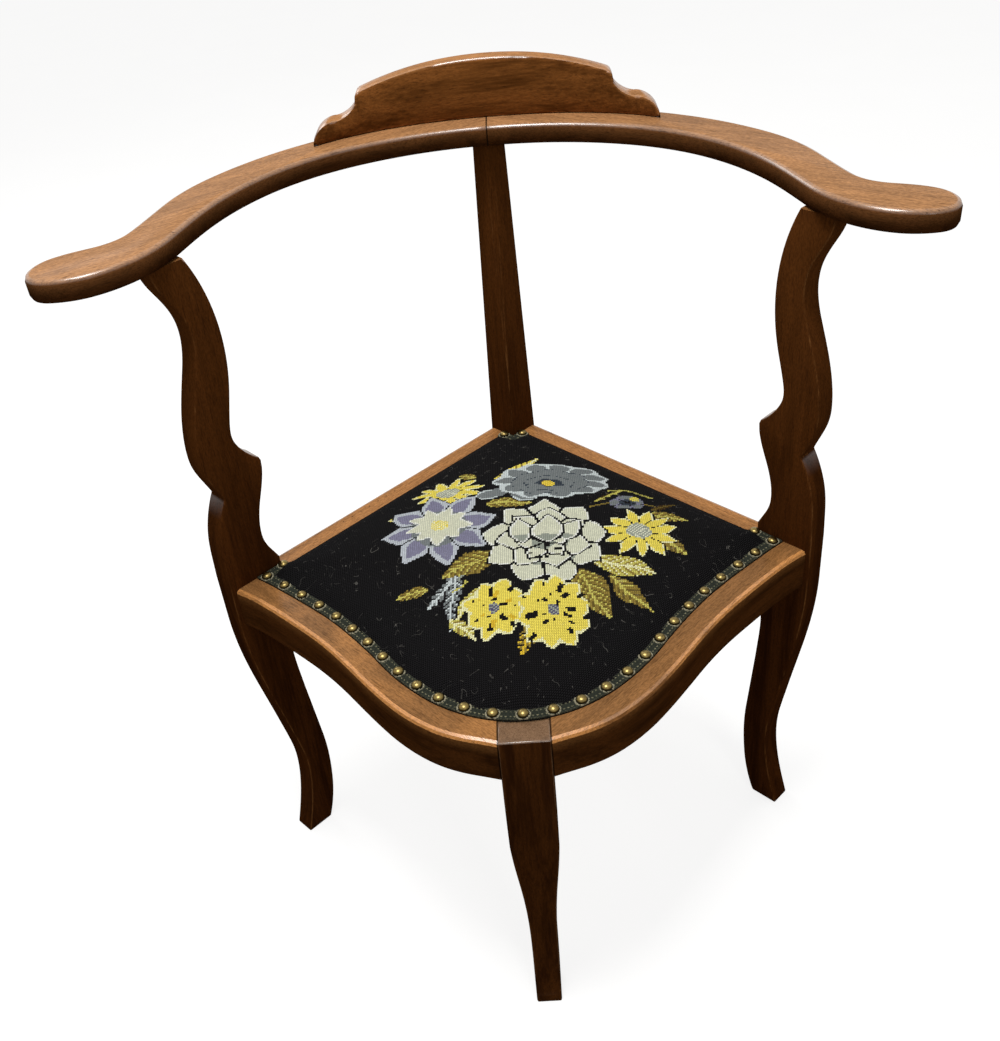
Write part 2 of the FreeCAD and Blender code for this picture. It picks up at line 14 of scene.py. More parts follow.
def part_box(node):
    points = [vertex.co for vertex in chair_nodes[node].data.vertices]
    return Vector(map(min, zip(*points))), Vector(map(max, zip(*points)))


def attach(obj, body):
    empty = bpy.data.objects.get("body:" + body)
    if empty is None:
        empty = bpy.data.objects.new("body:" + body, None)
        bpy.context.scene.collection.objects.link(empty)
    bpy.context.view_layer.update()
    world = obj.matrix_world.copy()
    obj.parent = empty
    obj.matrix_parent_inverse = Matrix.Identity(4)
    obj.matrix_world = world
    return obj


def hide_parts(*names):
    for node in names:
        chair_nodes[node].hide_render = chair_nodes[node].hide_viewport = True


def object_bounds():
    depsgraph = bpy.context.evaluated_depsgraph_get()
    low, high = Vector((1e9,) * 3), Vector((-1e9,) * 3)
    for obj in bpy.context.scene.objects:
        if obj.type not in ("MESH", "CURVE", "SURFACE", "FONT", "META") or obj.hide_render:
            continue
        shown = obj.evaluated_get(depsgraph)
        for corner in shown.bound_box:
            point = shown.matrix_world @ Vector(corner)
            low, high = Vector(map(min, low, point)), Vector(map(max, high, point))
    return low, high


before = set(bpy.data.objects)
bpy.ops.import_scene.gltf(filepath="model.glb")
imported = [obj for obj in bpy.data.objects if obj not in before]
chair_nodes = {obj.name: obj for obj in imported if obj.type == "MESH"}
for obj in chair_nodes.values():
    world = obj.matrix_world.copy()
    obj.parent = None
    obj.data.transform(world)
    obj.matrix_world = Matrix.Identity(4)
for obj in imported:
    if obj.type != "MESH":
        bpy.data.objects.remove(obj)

cad_low, cad_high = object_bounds()
chair_size = [round(b - a, 4) for a, b in zip(cad_low, cad_high)]
print("nodes:", len(chair_nodes), "size in m:", chair_size)

# %% [markdown]
# ## The camera
# The photograph was taken from above the front leg, a little more than a metre from the seat. Its place was
# worked out from the chair's own corners, so it is written here as a point, three directions and a focal
# length in pixels of a picture 1000 wide and 1041 high.

# %% Place the camera
PICTURE = (1000.0, 1041.0)
focal_px = 1147.0
centre_px = (502.3, 521.5)
eye = Vector((0.0319, -0.9579, 1.1108))
to_right = Vector((0.99674, -0.010792, -0.079961))
to_down = Vector((-0.071092, -0.586149, -0.807079))
to_front = Vector((-0.038158, 0.810132, -0.585005))


def in_scene(name, data):
    """A new object in the scene."""
    made = bpy.data.objects.new(name, data)
    bpy.context.scene.collection.objects.link(made)
    return made


camera_data = bpy.data.cameras.new("photo_camera")
camera_data.sensor_width = 36.0
camera_data.lens = focal_px / PICTURE[1] * camera_data.sensor_width
camera_data.shift_x = -(centre_px[0] - PICTURE[0] / 2) / PICTURE[1]
camera_data.shift_y = (centre_px[1] - PICTURE[1] / 2) / PICTURE[1]
camera_data.clip_start, camera_data.clip_end = 0.05, 50.0
seat_middle = Vector((0.0, 0.0, 0.4))
camera = in_scene("photo_camera", camera_data)
turn = Matrix((to_right, -to_down, -to_front)).transposed()
camera.matrix_world = Matrix.Translation(eye) @ turn.to_4x4()
bpy.context.scene.camera = camera
print("lens %.1f mm, %.2f m from the seat" % (camera_data.lens, (eye - seat_middle).length))

# %% [markdown]
# ## Writing materials as sums
# A material in Blender is a net of small nodes. A short class holds one socket and lets sums on it add
# their own Math nodes. Its node method adds any other kind: first the settings, then what goes into its
# sockets.

# %% A class for shader sums
class Reading:
    """One socket of a node tree, so that a pattern can be written as a sum."""

    def __init__(self, tree, socket=None):
        self.tree, self.socket = tree, socket

    def node(self, kind, settings=None, sockets=None, out=0):
        """Add a node, with its settings first and then its sockets."""
        made = self.tree.nodes.new(kind)
        for name, value in (settings or {}).items():
            setattr(made, name, value)
        for name, value in (sockets or {}).items():
            if isinstance(value, Reading):
                self.tree.links.new(value.socket, made.inputs[name])
            else:
                made.inputs[name].default_value = value
        return Reading(self.tree, made.outputs[out])

    def sum_of(self, operation, a, b=0.0):
        return self.node("ShaderNodeMath", {"operation": operation}, {0: a, 1: b})

    def __add__(self, other):
        return self.sum_of("ADD", self, other)

    def __radd__(self, other):
        return self.sum_of("ADD", other, self)

    def __sub__(self, other):
        return self.sum_of("SUBTRACT", self, other)

    def __rsub__(self, other):
        return self.sum_of("SUBTRACT", other, self)

    def __mul__(self, other):
        return self.sum_of("MULTIPLY", self, other)

    def __rmul__(self, other):
        return self.sum_of("MULTIPLY", other, self)

    def __truediv__(self, other):
        return self.sum_of("DIVIDE", self, other)

    def __rtruediv__(self, other):
        return self.sum_of("DIVIDE", other, self)

    def __gt__(self, other):
        return self.sum_of("GREATER_THAN", self, other)

    def __abs__(self):
        return self.sum_of("ABSOLUTE", self)


print("a reading adds nodes for + - * / > and abs")


# %% Colours and soft steps
def shade(red, green, blue):
    """A colour as a picture editor gives it, 0 to 255, as the light that a shader needs."""
    return tuple(((c / 255 + 0.055) / 1.055) ** 2.4 if c > 10 else c / 255 / 12.92
                 for c in (red, green, blue)) + (1.0,)


def fade(value, low, high):
    """0 below low, 1 above high, with a soft change between them."""
    settings = {"interpolation_type": "SMOOTHSTEP"}
    return value.node("ShaderNodeMapRange", settings, {"Value": value, "From Min": low, "From Max": high})


def tint(share, a, b, way="MIX"):
    """Mix two colours."""
    settings = {"data_type": "RGBA", "blend_type": way}
    anchor = next(x for x in (share, a, b) if isinstance(x, Reading))
    return anchor.node("ShaderNodeMix", settings, {0: share, 6: a, 7: b}, 2)


def washed(colour, *washes):
    """Lay washes over a colour, each with its share and its own colour."""
    for share, tone in washes:
        colour = tint(share, colour, tone)
    return colour


print("brown of the arms as light:", [round(c, 3) for c in shade(182, 128, 84)[:3]])


# %% Patterns, and the start of a finish
def axis(value, letter):
    """One of the three numbers of a vector."""
    return value.node("ShaderNodeSeparateXYZ", None, {0: value}, letter)


def fraction(value):
    return value.sum_of("FRACT", value)


def sine(value):
    return value.sum_of("SINE", value)


def cloudy(place, scale, detail, **more):
    """Soft noise over a surface."""
    return place.node("ShaderNodeTexNoise", None, {"Vector": place, "Scale": scale, "Detail": detail, **more})


def relief(height, strength, distance):
    """The normals of a surface that has this height."""
    return height.node("ShaderNodeBump", None, {"Strength": strength, "Distance": distance, "Height": height})


COAT = {"Coat Roughness": 0.26, "Coat IOR": 1.7}


def new_finish(name, sockets):
    """A new material: its shader, with what is the same all over, and a reading to start from."""
    material = bpy.data.materials.new(name)
    material.use_nodes = True
    shader = material.node_tree.nodes["Principled BSDF"]
    for socket, value in {**COAT, **sockets}.items():
        shader.inputs[socket].default_value = value
    return material, shader, Reading(material.node_tree)


def feed(shader, sockets):
    """Link readings to the shader's sockets."""
    for socket, value in sockets.items():
        value.tree.links.new(value.socket, shader.inputs[socket])


print("coat of the polish:", COAT)

# %% [markdown]
# ## Floor, daylight and lamps
# The photograph shows the chair against plain white, lit softly from above and from the front, with a few
# bright streaks on the polish. A pale floor and a white sky give the background. Only the camera and
# reflections see that white, so it doesn't wash out the browns. Soft boxes make the streaks.

# %% Make the floor and the white background
bpy.context.scene.view_settings.view_transform = "Standard"
SKY_LIGHT = 0.34
FLOOR_GLOW = 0.8
FLOOR_HALF = 6.0
FLOOR_DROP = 0.0003
BLACK, WHITE = (0, 0, 0, 1), (1, 1, 1, 1)


def seen_white(start):
    """1 for what the camera sees, directly, in a reflection or through glass."""
    seen, glossy, through = [start.node("ShaderNodeLightPath", out="Is %s Ray" % way)
                             for way in ("Camera", "Glossy", "Transmission")]
    return seen + glossy + through


world = bpy.data.worlds.new("white_room")
bpy.context.scene.world = world
world.use_nodes = True
sky = world.node_tree.nodes["Background"]
sky.inputs["Color"].default_value = WHITE
sky_share = seen_white(Reading(world.node_tree))
feed(sky, {"Strength": sky_share * (1 - SKY_LIGHT) + SKY_LIGHT})

floor_mesh = bmesh.new()
bmesh.ops.create_grid(floor_mesh, x_segments=1, y_segments=1, size=FLOOR_HALF)
bmesh.ops.translate(floor_mesh, verts=floor_mesh.verts, vec=(0, 0, -FLOOR_DROP))
floor_data = bpy.data.meshes.new("studio_floor")
floor_mesh.to_mesh(floor_data)
floor_mesh.free()
floor = in_scene("studio_floor", floor_data)

floor_paint, floor_shader, start = new_finish("pale_floor", {"Roughness": 0.9, "Specular IOR Level": 0.0})
speckle = start.node("ShaderNodeTexNoise", None, {"Scale": 60.0, "Detail": 3.0})
feed(floor_shader, {"Base Color": tint(speckle, shade(164, 163, 161), shade(170, 169, 167))})
floor_shader.inputs["Emission Strength"].default_value = 1.0
feed(floor_shader, {"Emission Color": tint(seen_white(start) * FLOOR_GLOW, BLACK, WHITE)})
floor_data.materials.append(floor_paint)
print("floor", round(floor.dimensions.x, 1), "m square")

# %% Hang the soft boxes
def soft_box(name, place, aim, size, watts):
    """A square lamp that looks at a point."""
    lamp = bpy.data.lights.new(name, "AREA")
    lamp.shape, lamp.size, lamp.energy = "SQUARE", size, watts
    hung = in_scene(name, lamp)
    hung.location = place
    hung.rotation_mode = "QUATERNION"
    hung.rotation_quaternion = (Vector(aim) - Vector(place)).to_track_quat("-Z", "Y")
    return hung


above_seat = (0.0, 0.0, 0.45)
lamps = [
    soft_box("ceiling_box", (-0.22, -0.25, 2.6), above_seat, 0.7, 36.0),
    soft_box("front_box", (0.9, -2.2, 1.9), above_seat, 0.6, 7.0),
    soft_box("back_box", (-1.2, 1.9, 2.0), above_seat, 0.8, 9.0),
]
print("lamps:", [lamp.name for lamp in lamps])

# %% [markdown]
# ## Old polished wood
# The chair is stained brown and polished. Its pores are short dark dashes along each board, with broader
# darker and lighter stripes behind them. Where hands and dusters go, the stain has faded to a light brown:
# on the tops of the arms and rails, and on every edge. The grain is noise stretched along the board, read
# from Object coordinates, so it passes through the piece as real grain does. A thin dark line shows where
# two boards meet, and one rear rail has a row of small holes. The coat is the polish.
# Posts, rails and arms are also painted lighter higher up, as painted light from above, and the rails' rounded
# shoulders carry a painted highlight.

# %% Mix the wood
JOINT_LINE = (0.0003, 0.0012)
PIN_HOLE = (0.0005, 0.0011)


def wood(name, along, dark, warm, faded, highlight_tone=None, gloss=0.34, joint=None, high=None, pins=None):
    """Polished wood with its grain along a direction. The colours are of its stripes and its worn tops. A high
    fade paints it lighter higher up, as painted light from above, and a highlight tone paints a highlight on
    the rounded shoulder.
    """
    material, shader, start = new_finish(name, {"Specular IOR Level": 0.0})
    place = start.node("ShaderNodeTexCoord", out="Object")
    length_way = Vector(along).normalized()
    side_way = length_way.cross((0, 0, 1) if abs(length_way.z) < 0.7 else (1, 1, 0)).normalized()
    third_way = length_way.cross(side_way)

    def measured(way):
        return place.node("ShaderNodeVectorMath", {"operation": "DOT_PRODUCT"}, {0: place, 1: way}, "Value")

    def noise(by_length, across, detail, twist=0.0):
        ways = (length_way * by_length, side_way * across, third_way * across)
        board = place.node("ShaderNodeCombineXYZ", None, dict(zip("XYZ", [measured(way) for way in ways])))
        return cloudy(board, 1.0, detail, Distortion=twist)

    stripes = noise(5.0, 62.0, 4.0, 0.6)
    pores = fade(noise(70.0, 900.0, 2.0), 0.55, 0.72)
    fine = noise(30.0, 420.0, 3.0)
    flecks = fade(noise(260.0, 1100.0, 2.0), 0.4, 0.62)
    blotch = cloudy(place, 9.0, 3.0)
    up = axis(place.node("ShaderNodeTexCoord", out="Normal"), "Z")
    level = fade(up, 0.93, 0.99)

    body = tint(fade(stripes * 0.65 + fine * 0.35, 0.32, 0.66), dark, warm)
    # Painted light: higher up, the board is painted lighter, as light from above falls on it.
    if high:
        low_z, top_z, most, tone = high
        body = tint(fade(axis(place, "Z") + (blotch - 0.5) * 0.01, low_z, top_z) * most, body, tone)
    deeper = tuple(c * 0.66 for c in faded[:3]) + (1,)
    top = tint(fade(stripes * 0.5 + fine * 0.5, 0.3, 0.68), deeper, faded)
    worn_top = fade(up + (blotch - 0.5) * 0.35, 0.45, 0.95)
    colour = tint(worn_top, body, top)
    # Painted highlight: the rounded shoulder, and patches of the top, are painted in a bright tone, as the
    # light that a lamp puts there.
    if highlight_tone:
        painted_shoulder_highlight = fade(up, 0.12, 0.34) * (1 - level)
        colour = washed(colour, (worn_top * fade(blotch, 0.48, 0.62) * 0.3, highlight_tone),
                        (painted_shoulder_highlight * fade(blotch, 0.3, 0.5) * 0.85, highlight_tone))
    rubbed = place.node("ShaderNodeAttribute", {"attribute_name": "rubbed"}, None, "Fac")
    colour = washed(colour, (rubbed * fade(blotch + (fine - 0.5) * 0.7, 0.4, 0.62) * 0.55, faded),
                    (pores * 0.5, shade(44, 22, 10)), (flecks * 0.34, dark),
                    (fade(blotch, 0.6, 0.8) * 0.3, shade(58, 30, 14)))
    if joint is not None:
        from_joint = abs(axis(place, "X")) - joint
        colour = tint(0.9 - fade(from_joint, *JOINT_LINE) * 0.9, colour, shade(18, 9, 4))
    if pins:
        first, last, pitch, row = pins
        by_length = measured(length_way)
        off_length = (fraction((by_length - first) / pitch + 0.5) - 0.5) * pitch
        off_side = measured(side_way) - row
        away = place.sum_of("SQRT", off_length * off_length + off_side * off_side)
        in_row = (by_length > first - pitch / 2) * (1 - (by_length > last + pitch / 2))
        colour = tint(in_row * (1 - fade(away, *PIN_HOLE)) * 0.85, colour, shade(30, 15, 7))
    feed(shader, {
        "Base Color": colour, "Roughness": gloss + fine * 0.1 + pores * 0.2 + (blotch - 0.5) * 0.1,
        "Coat Weight": fade(up, 0.34, 0.6) * (1 - level * 0.86) * (1 - pores * 0.5),
        "Normal": relief(fine * 0.5 - pores, 0.25, 0.0003)})
    return material


print("width of the line at a joint: %.1f mm" % (JOINT_LINE[1] * 1000))

# %% Stain the boards
# Each stain is a dark stripe, a warm stripe and the faded top. The rails' last one is a painted highlight on
# their rounded shoulder and in patches on their tops.
rail_stain = (shade(50, 27, 10), shade(82, 47, 20), shade(160, 112, 66), shade(232, 160, 90))
rear_stain = (shade(50, 27, 10), shade(82, 47, 20), shade(190, 132, 78))
leg_stain = (shade(46, 23, 8), shade(80, 45, 18), shade(140, 108, 80))
post_stain = (shade(46, 22, 7), shade(78, 42, 16), shade(140, 94, 52))
arm_stain = (shade(44, 23, 8), shade(78, 44, 20), shade(186, 134, 88))
crest_stain = (shade(82, 47, 18), shade(138, 85, 40), shade(184, 128, 76))

# A painted light from above has its lowest and highest z, its strongest share and its colour: the board is
# painted lighter higher up.
rail_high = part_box("front_rail_right")[1].z
arm_low, arm_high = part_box("arm_right")[0].z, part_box("arm_right")[1].z
rail_painted_light = (rail_high - 0.018, rail_high - 0.002, 0.3, shade(186, 126, 70))
arm_painted_light = (arm_low + 0.004, arm_high - 0.001, 0.34, shade(150, 100, 58))
post_painted_light = (rail_high - 0.1, arm_low, 0.34, shade(128, 76, 34))

# A row of holes has its first and last place along the board, its pitch and its place across.
pin_row = (-0.089, -0.014, 0.0125, -0.1795)
leg_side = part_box("front_leg")[1].x
woods = {
    "front_leg": wood("wood_leg", (0, 0, 1), *leg_stain),
    "left_post": wood("wood_post", (0, 0, 1), *post_stain, high=post_painted_light),
    "rear_rail_left": wood("wood_rail_rear_left", (1, 1, 0), *rear_stain, pins=pin_row),
    "rear_rail_right": wood("wood_rail_rear_right", (1, -1, 0), *rear_stain),
    "crest_rail": wood("wood_crest", (1, 0, 0.02), *crest_stain, gloss=0.3),
}
woods["right_post"] = woods["rear_post"] = woods["left_post"]
for side, way in (("left", -1), ("right", 1)):
    woods["front_rail_" + side] = wood("wood_rail_front_" + side, (1, way, 0), *rail_stain,
                                       joint=leg_side, high=rail_painted_light)
    woods["arm_" + side] = wood("wood_arm_" + side, (0.84, -0.54 * way, 0), *arm_stain,
                                gloss=0.3, joint=0.0, high=arm_painted_light)
print("woods:", len(set(m.name for m in woods.values())))

# %% [markdown]
# ## Wooden pieces with eased edges
# A cabinet maker takes the sharp edge off every board, and wear rounds it further. Each CAD piece is copied,
# its loose triangles are joined to whole flat faces, and a small bevel goes on each real edge. Edges against
# the underside of the arms stay sharp, so the joint stays closed. The bevel is marked in an attribute, which
# the wood reads to show the rubbed edges.

# %% Make a piece out of a shape
def tell(piece):
    """Print how many faces a piece has and how large it is."""
    size = [side * 1000 for side in piece.dimensions]
    print("%s: %d faces, %.0f x %.0f x %.0f mm" % (piece.name, len(piece.data.polygons), *size))


def as_piece(shape, name, stands_for, material):
    """Turn a bmesh into a piece of the chair that stands for CAD nodes."""
    data = bpy.data.meshes.new(name)
    shape.to_mesh(data)
    shape.free()
    data.materials.append(material)
    piece = in_scene(name, data)
    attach(piece, "root")
    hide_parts(*stands_for)
    return piece


def smoothed(shape):
    for face in shape.faces:
        face.smooth = True


def open_edges(shape):
    return [edge for edge in shape.edges if edge.is_boundary]


def everything(shape):
    return shape.verts[:] + shape.edges[:] + shape.faces[:]


def filled(shape):
    """Fill the holes of a shape and turn its faces outward."""
    bmesh.ops.holes_fill(shape, edges=open_edges(shape), sides=0)
    bmesh.ops.recalc_face_normals(shape, faces=shape.faces)


def pushed_out(shape, edges):
    """Extrude edges, and give the new vertices and the new edges between them."""
    made = bmesh.ops.extrude_edge_only(shape, edges=edges)["geom"]
    verts = {item for item in made if isinstance(item, bmesh.types.BMVert)}
    edges = [item for item in made if isinstance(item, bmesh.types.BMEdge)]
    return verts, [edge for edge in edges if verts.issuperset(edge.verts)]


def joined_copy(node):
    """A copy of a CAD node whose triangles are joined into whole flat faces."""
    shape = bmesh.new()
    shape.from_mesh(chair_nodes[node].data)
    bmesh.ops.remove_doubles(shape, verts=shape.verts, dist=2e-6)
    bmesh.ops.dissolve_limit(shape, angle_limit=math.radians(0.4), use_dissolve_boundaries=False,
                             verts=shape.verts, edges=shape.edges, delimit=set())
    return shape


print("triangles of the leg in CAD:", len(chair_nodes["front_leg"].data.polygons))


# %% Ease the edges of a board
def eased(node, radius, least):
    """A copy of a wooden node whose edges sharper than some degrees are bevelled."""
    shape = joined_copy(node)
    rubbed = shape.verts.layers.float.new("rubbed")
    sharp = [e for e in shape.edges if e.is_manifold and e.calc_face_angle(0) > math.radians(least)
             and not all(abs(v.co.z - arm_low) < 0.0005 for v in e.verts)]
    made = bmesh.ops.bevel(shape, geom=sharp, offset=radius, offset_type="OFFSET", segments=2, profile=0.5,
                           affect="EDGES", clamp_overlap=False, material=-1)
    strip = set(made["faces"])
    for vert in made["verts"]:
        if all(face in strip for face in vert.link_faces):
            vert[rubbed] = 1.0
    smoothed(shape)
    piece = as_piece(shape, node + "_polished", [node], woods[node])
    piece.data.set_sharp_from_angle(angle=math.radians(least + 2))
    tell(piece)


eased("front_leg", 0.0016, 32)
eased("left_post", 0.0016, 32)
eased("right_post", 0.0016, 32)
eased("rear_post", 0.0014, 32)
eased("crest_rail", 0.0034, 32)
eased("arm_left", 0.0006, 50)
eased("arm_right", 0.0006, 50)

# %% [markdown]
# ## Pieces that keep their CAD shape
# The seat rails have their rounded top edge in CAD, and the glue blocks and dowels are hidden, so these
# nodes only get their wood: polished for the rails, raw for the rest.

# %% Give the rails, blocks and dowels their wood
raw_stain = (shade(150, 112, 74), shade(178, 138, 94), shade(186, 148, 104))
raw_wood = wood("wood_raw_beech", (1, 0, 0), *raw_stain, gloss=0.6)


def dress(node, material):
    places = chair_nodes[node].material_slots
    for place in places:
        place.material = material
    if not places:
        chair_nodes[node].data.materials.append(material)


for node in chair_nodes:
    if "_rail_" in node:
        dress(node, woods[node])
    elif node.startswith("corner_block") or node.endswith("dowels"):
        dress(node, raw_wood)
print("dressed", sum(len(node.data.materials) > 0 for node in chair_nodes.values()), "nodes")

# %% [markdown]
# ## The outline of the seat
# Cover, hessian, stuffing and braid follow one outline: straight beside the rear rails, with a step round
# each side post, and serpentine in front. The top face of the CAD hessian gives it. A grid of squares cut
# along it is the start of each cloth.

# %% Read the outline of the seat
def in_pairs(points):
    """Each point of a closed line with the next one."""
    return list(zip(points, points[1:] + points[:1]))


hessian_copy = joined_copy("hessian")
hessian_top = max((f for f in hessian_copy.faces if f.normal.z > 0.9), key=lambda f: f.calc_area())
seat_outline = [corner.co.xy.copy() for corner in hessian_top.verts]
hessian_z = hessian_top.verts[0].co.z
hessian_copy.free()
twice_area = sum(a.x * b.y - a.y * b.x for a, b in in_pairs(seat_outline))
if twice_area < 0:
    seat_outline.reverse()
seat_sides = in_pairs(seat_outline)


def nearest(point):
    """How far a point is from the outline, whether it is inside, and the nearest place on it."""
    best, inside = (9.0, None), False
    for a, b in seat_sides:
        run = b - a
        share = max(0.0, min(1.0, (point - a).dot(run) / run.length_squared))
        foot = a + run * share
        best = min(best, ((point - foot).length, foot), key=lambda found: found[0])
        if (a.y > point.y) != (b.y > point.y) and point.x < a.x + run.x * (point.y - a.y) / run.y:
            inside = not inside
    return best[0], inside, best[1]


# %% Lay a grid of stitches over the seat
STITCH = 0.0020
CELL = 4 * STITCH
GRID = 80
KEPT_OUTSIDE = 0.45 * CELL
TINY_FACE = 1e-7


def seat_grid():
    """A flat grid of squares of four stitches each way, cut to the outline."""
    shape = bmesh.new()
    bmesh.ops.create_grid(shape, x_segments=GRID, y_segments=GRID, size=GRID * CELL / 2)
    flat = shape.verts.layers.float_vector.new("on_seat")
    where = {vert: nearest(vert.co.xy) for vert in shape.verts}
    outside = [vert for vert in shape.verts if not where[vert][1] and where[vert][0] > KEPT_OUTSIDE]
    bmesh.ops.delete(shape, geom=outside, context="VERTS")
    for vert in shape.verts:
        if vert.is_boundary:
            vert.co.xy = nearest(vert.co.xy)[2]
        vert[flat] = vert.co
    loose = [face for face in shape.faces if face.calc_area() < TINY_FACE]
    bmesh.ops.delete(shape, geom=loose, context="FACES")
    return shape


cloth = seat_grid()
print("grid of", len(cloth.faces), "squares")

# %% [markdown]
# ## The stuffed seat
# Under the needlework is a pad of horsehair, tied down round its edge, so it swells in the middle and
# falls steeply to the braid. The grid is raised to a low dome, closed underneath, and blown up by a cloth
# simulation with its edge held. What comes out shapes both the cover and the pad below it.

# %% Raise a low dome
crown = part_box("seat_cover")[1].z
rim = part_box("rear_rail_left")[1].z + 0.0002
BRAID = 0.012
FULL_RISE_AT = 0.165
LOW_DOME = 0.86
RISE = ((0.0, 0.0), (0.02, 0.3), (0.08, 0.62), (0.24, 0.87), (0.55, 1.0), (1.1, 1.0))


def rise(share):
    for (a, low), (b, high) in zip(RISE, RISE[1:]):
        if share <= b:
            return low + (high - low) * (share - a) / (b - a)
    return 1.0


longest, _ = max(seat_sides, key=lambda side: (side[1] - side[0]).length)
rail_sum = abs(longest.x) + longest.y


def inward(vert):
    """How far inside the edge of the dome a point is. The braid lies on the front edge."""
    distance, _, foot = nearest(vert.co.xy)
    beside_rail = abs(abs(foot.x) + foot.y - rail_sum) < 0.0005
    return distance - (0.001 if beside_rail else BRAID + 0.0003)


for vert in cloth.verts:
    depth = inward(vert)
    if depth > 0:
        vert.co.z = rim + (crown - rim) * LOW_DOME * rise(min(1.0, depth / FULL_RISE_AT))
    else:
        vert.co.z = rim - 0.0003
print("dome of %.1f mm" % ((max(v.co.z for v in cloth.verts) - rim) * 1000))


# %% Swell it with a cloth simulation
def key_of(place):
    return tuple(round(c, 6) for c in place)


def swollen(shape, frames=20, force=4.0, most=0.012):
    """Close the dome underneath, hold its edge, and let pressure round it."""
    flat = shape.verts.layers.float_vector["on_seat"]
    start = {key_of(vert[flat]): vert.co.copy() for vert in shape.verts}
    closed = shape.copy()
    held_layer = closed.verts.layers.deform.verify()
    low, _ = pushed_out(closed, open_edges(closed))
    bmesh.ops.translate(closed, verts=list(low), vec=(0, 0, -0.004))
    filled(closed)
    for vert in closed.verts:
        if vert in low or vert.co.z < rim + 0.0002:
            vert[held_layer][0] = 1.0
    data = bpy.data.meshes.new("swelling")
    closed.to_mesh(data)
    closed.free()
    pad = in_scene("swelling", data)
    pad.vertex_groups.new(name="held")
    cloth_modifier = pad.modifiers.new("swell", "CLOTH")
    settings = cloth_modifier.settings
    settings.quality, settings.mass = 6, 0.3
    settings.tension_stiffness = settings.compression_stiffness = 25.0
    settings.bending_stiffness = 2.0
    settings.use_pressure, settings.uniform_pressure_force = True, force
    settings.effector_weights.gravity = 0.0
    settings.vertex_group_mass = "held"
    cloth_modifier.collision_settings.use_collision = False
    cache = cloth_modifier.point_cache
    cache.frame_start, cache.frame_end = 1, frames
    scene = bpy.context.scene
    for number in range(1, frames + 1):
        scene.frame_set(number)
    result = pad.evaluated_get(bpy.context.evaluated_depsgraph_get()).to_mesh()
    moved = {}
    for vert, place in zip(result.vertices, data.attributes["on_seat"].data):
        moved.setdefault(key_of(place.vector), []).append(vert.co.copy())
    for vert in shape.verts:
        key = key_of(vert[flat])
        goal = max(moved[key], key=lambda co: co.z)
        step = goal - start[key]
        vert.co = start[key] + step * min(1.0, most / max(step.length, 1e-9))
    scene.frame_set(1)
    bpy.data.objects.remove(pad)


swollen(cloth)
high = max(v.co.z for v in cloth.verts)
for vert in cloth.verts:
    if vert.co.z > rim:
        vert.co.z = rim + (vert.co.z - rim) * min(1.0, (crown - rim) / (high - rim))
bmesh.ops.smooth_vert(cloth, verts=[v for v in cloth.verts if v.co.z > rim + 0.001], factor=0.5,
                      use_axis_x=False, use_axis_y=False, use_axis_z=True)
print("crown of %.1f mm" % ((max(v.co.z for v in cloth.verts) - rim) * 1000))

# %% [markdown]
# ## Flowers in wool
# The cover is needlepoint: wool in slanted stitches on a square canvas, one colour to each stitch. Its
# garden flowers are a traditional bunch, each drawn by a formula round its own centre: a rosette is rings of
# petals, wide in the middle and pointed at the tip, with the dark ground as a line between them. A point of
# the canvas asks each form in turn for its colour, and the last that answers wins, as the front one does.

# %% Name the wools
WOOLS = {
    "ground": shade(33, 32, 33), "ivory": shade(250, 251, 240), "cream": shade(232, 233, 206),
    "grey": shade(164, 170, 156), "ice": shade(222, 231, 230), "slate": shade(132, 138, 138),
    "deep_slate": shade(74, 82, 92), "lilac": shade(142, 140, 164), "pale_lilac": shade(204, 210, 216),
    "yellow": shade(255, 234, 100), "gold": shade(240, 200, 60), "lemon": shade(255, 252, 196),
    "olive": shade(154, 132, 62), "dark_olive": shade(112, 94, 46), "leaf": shade(216, 206, 104),
    "violet": shade(92, 86, 122), "brown": shade(84, 62, 30),
}
print("wools:", len(WOOLS))


# %% Draw a ring of petals and a heart
def petals(x, y, centre, root, reach, count, turned, squash, wide, blunt, tones, rim_wide, seam, tip=0.7):
    """A ring of petals from a root radius to their tips, in millimetres, with the ground between them."""
    edge, body, deep = tones
    dx, dy = x - centre[0], (y - centre[1]) / squash
    radius = math.hypot(dx, dy)
    if radius > reach + 3 or radius < root:
        return None
    step = 2 * math.pi / count
    off = (math.atan2(dy, dx) - turned + step / 2) % step - step / 2
    along, across = radius * math.cos(off), radius * abs(math.sin(off))
    share = max(0.0, (along - root) / (reach - root))
    if share <= 1:
        own = across - wide * math.sin(math.pi * share ** blunt) ** tip - (1.5 if share < 0.3 else 0.0)
    else:
        own = math.hypot(along - reach, across)
    outside = max(own, seam - (along * math.tan(step / 2) - across))
    if outside > max(0.0, 1.7 * seam):
        return None
    if outside > 0:
        return "ground"
    if own > -rim_wide and share > 0.35:
        return edge
    return deep if share < 0.38 else body


def heart(x, y, centre, radius, squash, tones):
    """The middle of a flower, flecked with two wools."""
    away = math.hypot(x - centre[0], (y - centre[1]) / squash)
    if away > radius:
        return None
    return tones[0] if (round(x / 2) + round(y / 2)) % 2 else tones[1]


print("half way up a petal:", petals(0, 20, (0, 0), 5, 40, 4, 1.57, 1, 9, 1, ("edge", "body", "root"), 2, 1))


# %% Draw leaves, stems and flecks
def beside(x, y, start_at, end_at):
    """How far along a line a point lies, as a share, how far to its left, and the line's length."""
    run = (end_at[0] - start_at[0], end_at[1] - start_at[1])
    long = math.hypot(*run)
    along = ((x - start_at[0]) * run[0] + (y - start_at[1]) * run[1]) / long ** 2
    return along, ((y - start_at[1]) * run[0] - (x - start_at[0]) * run[1]) / long, long


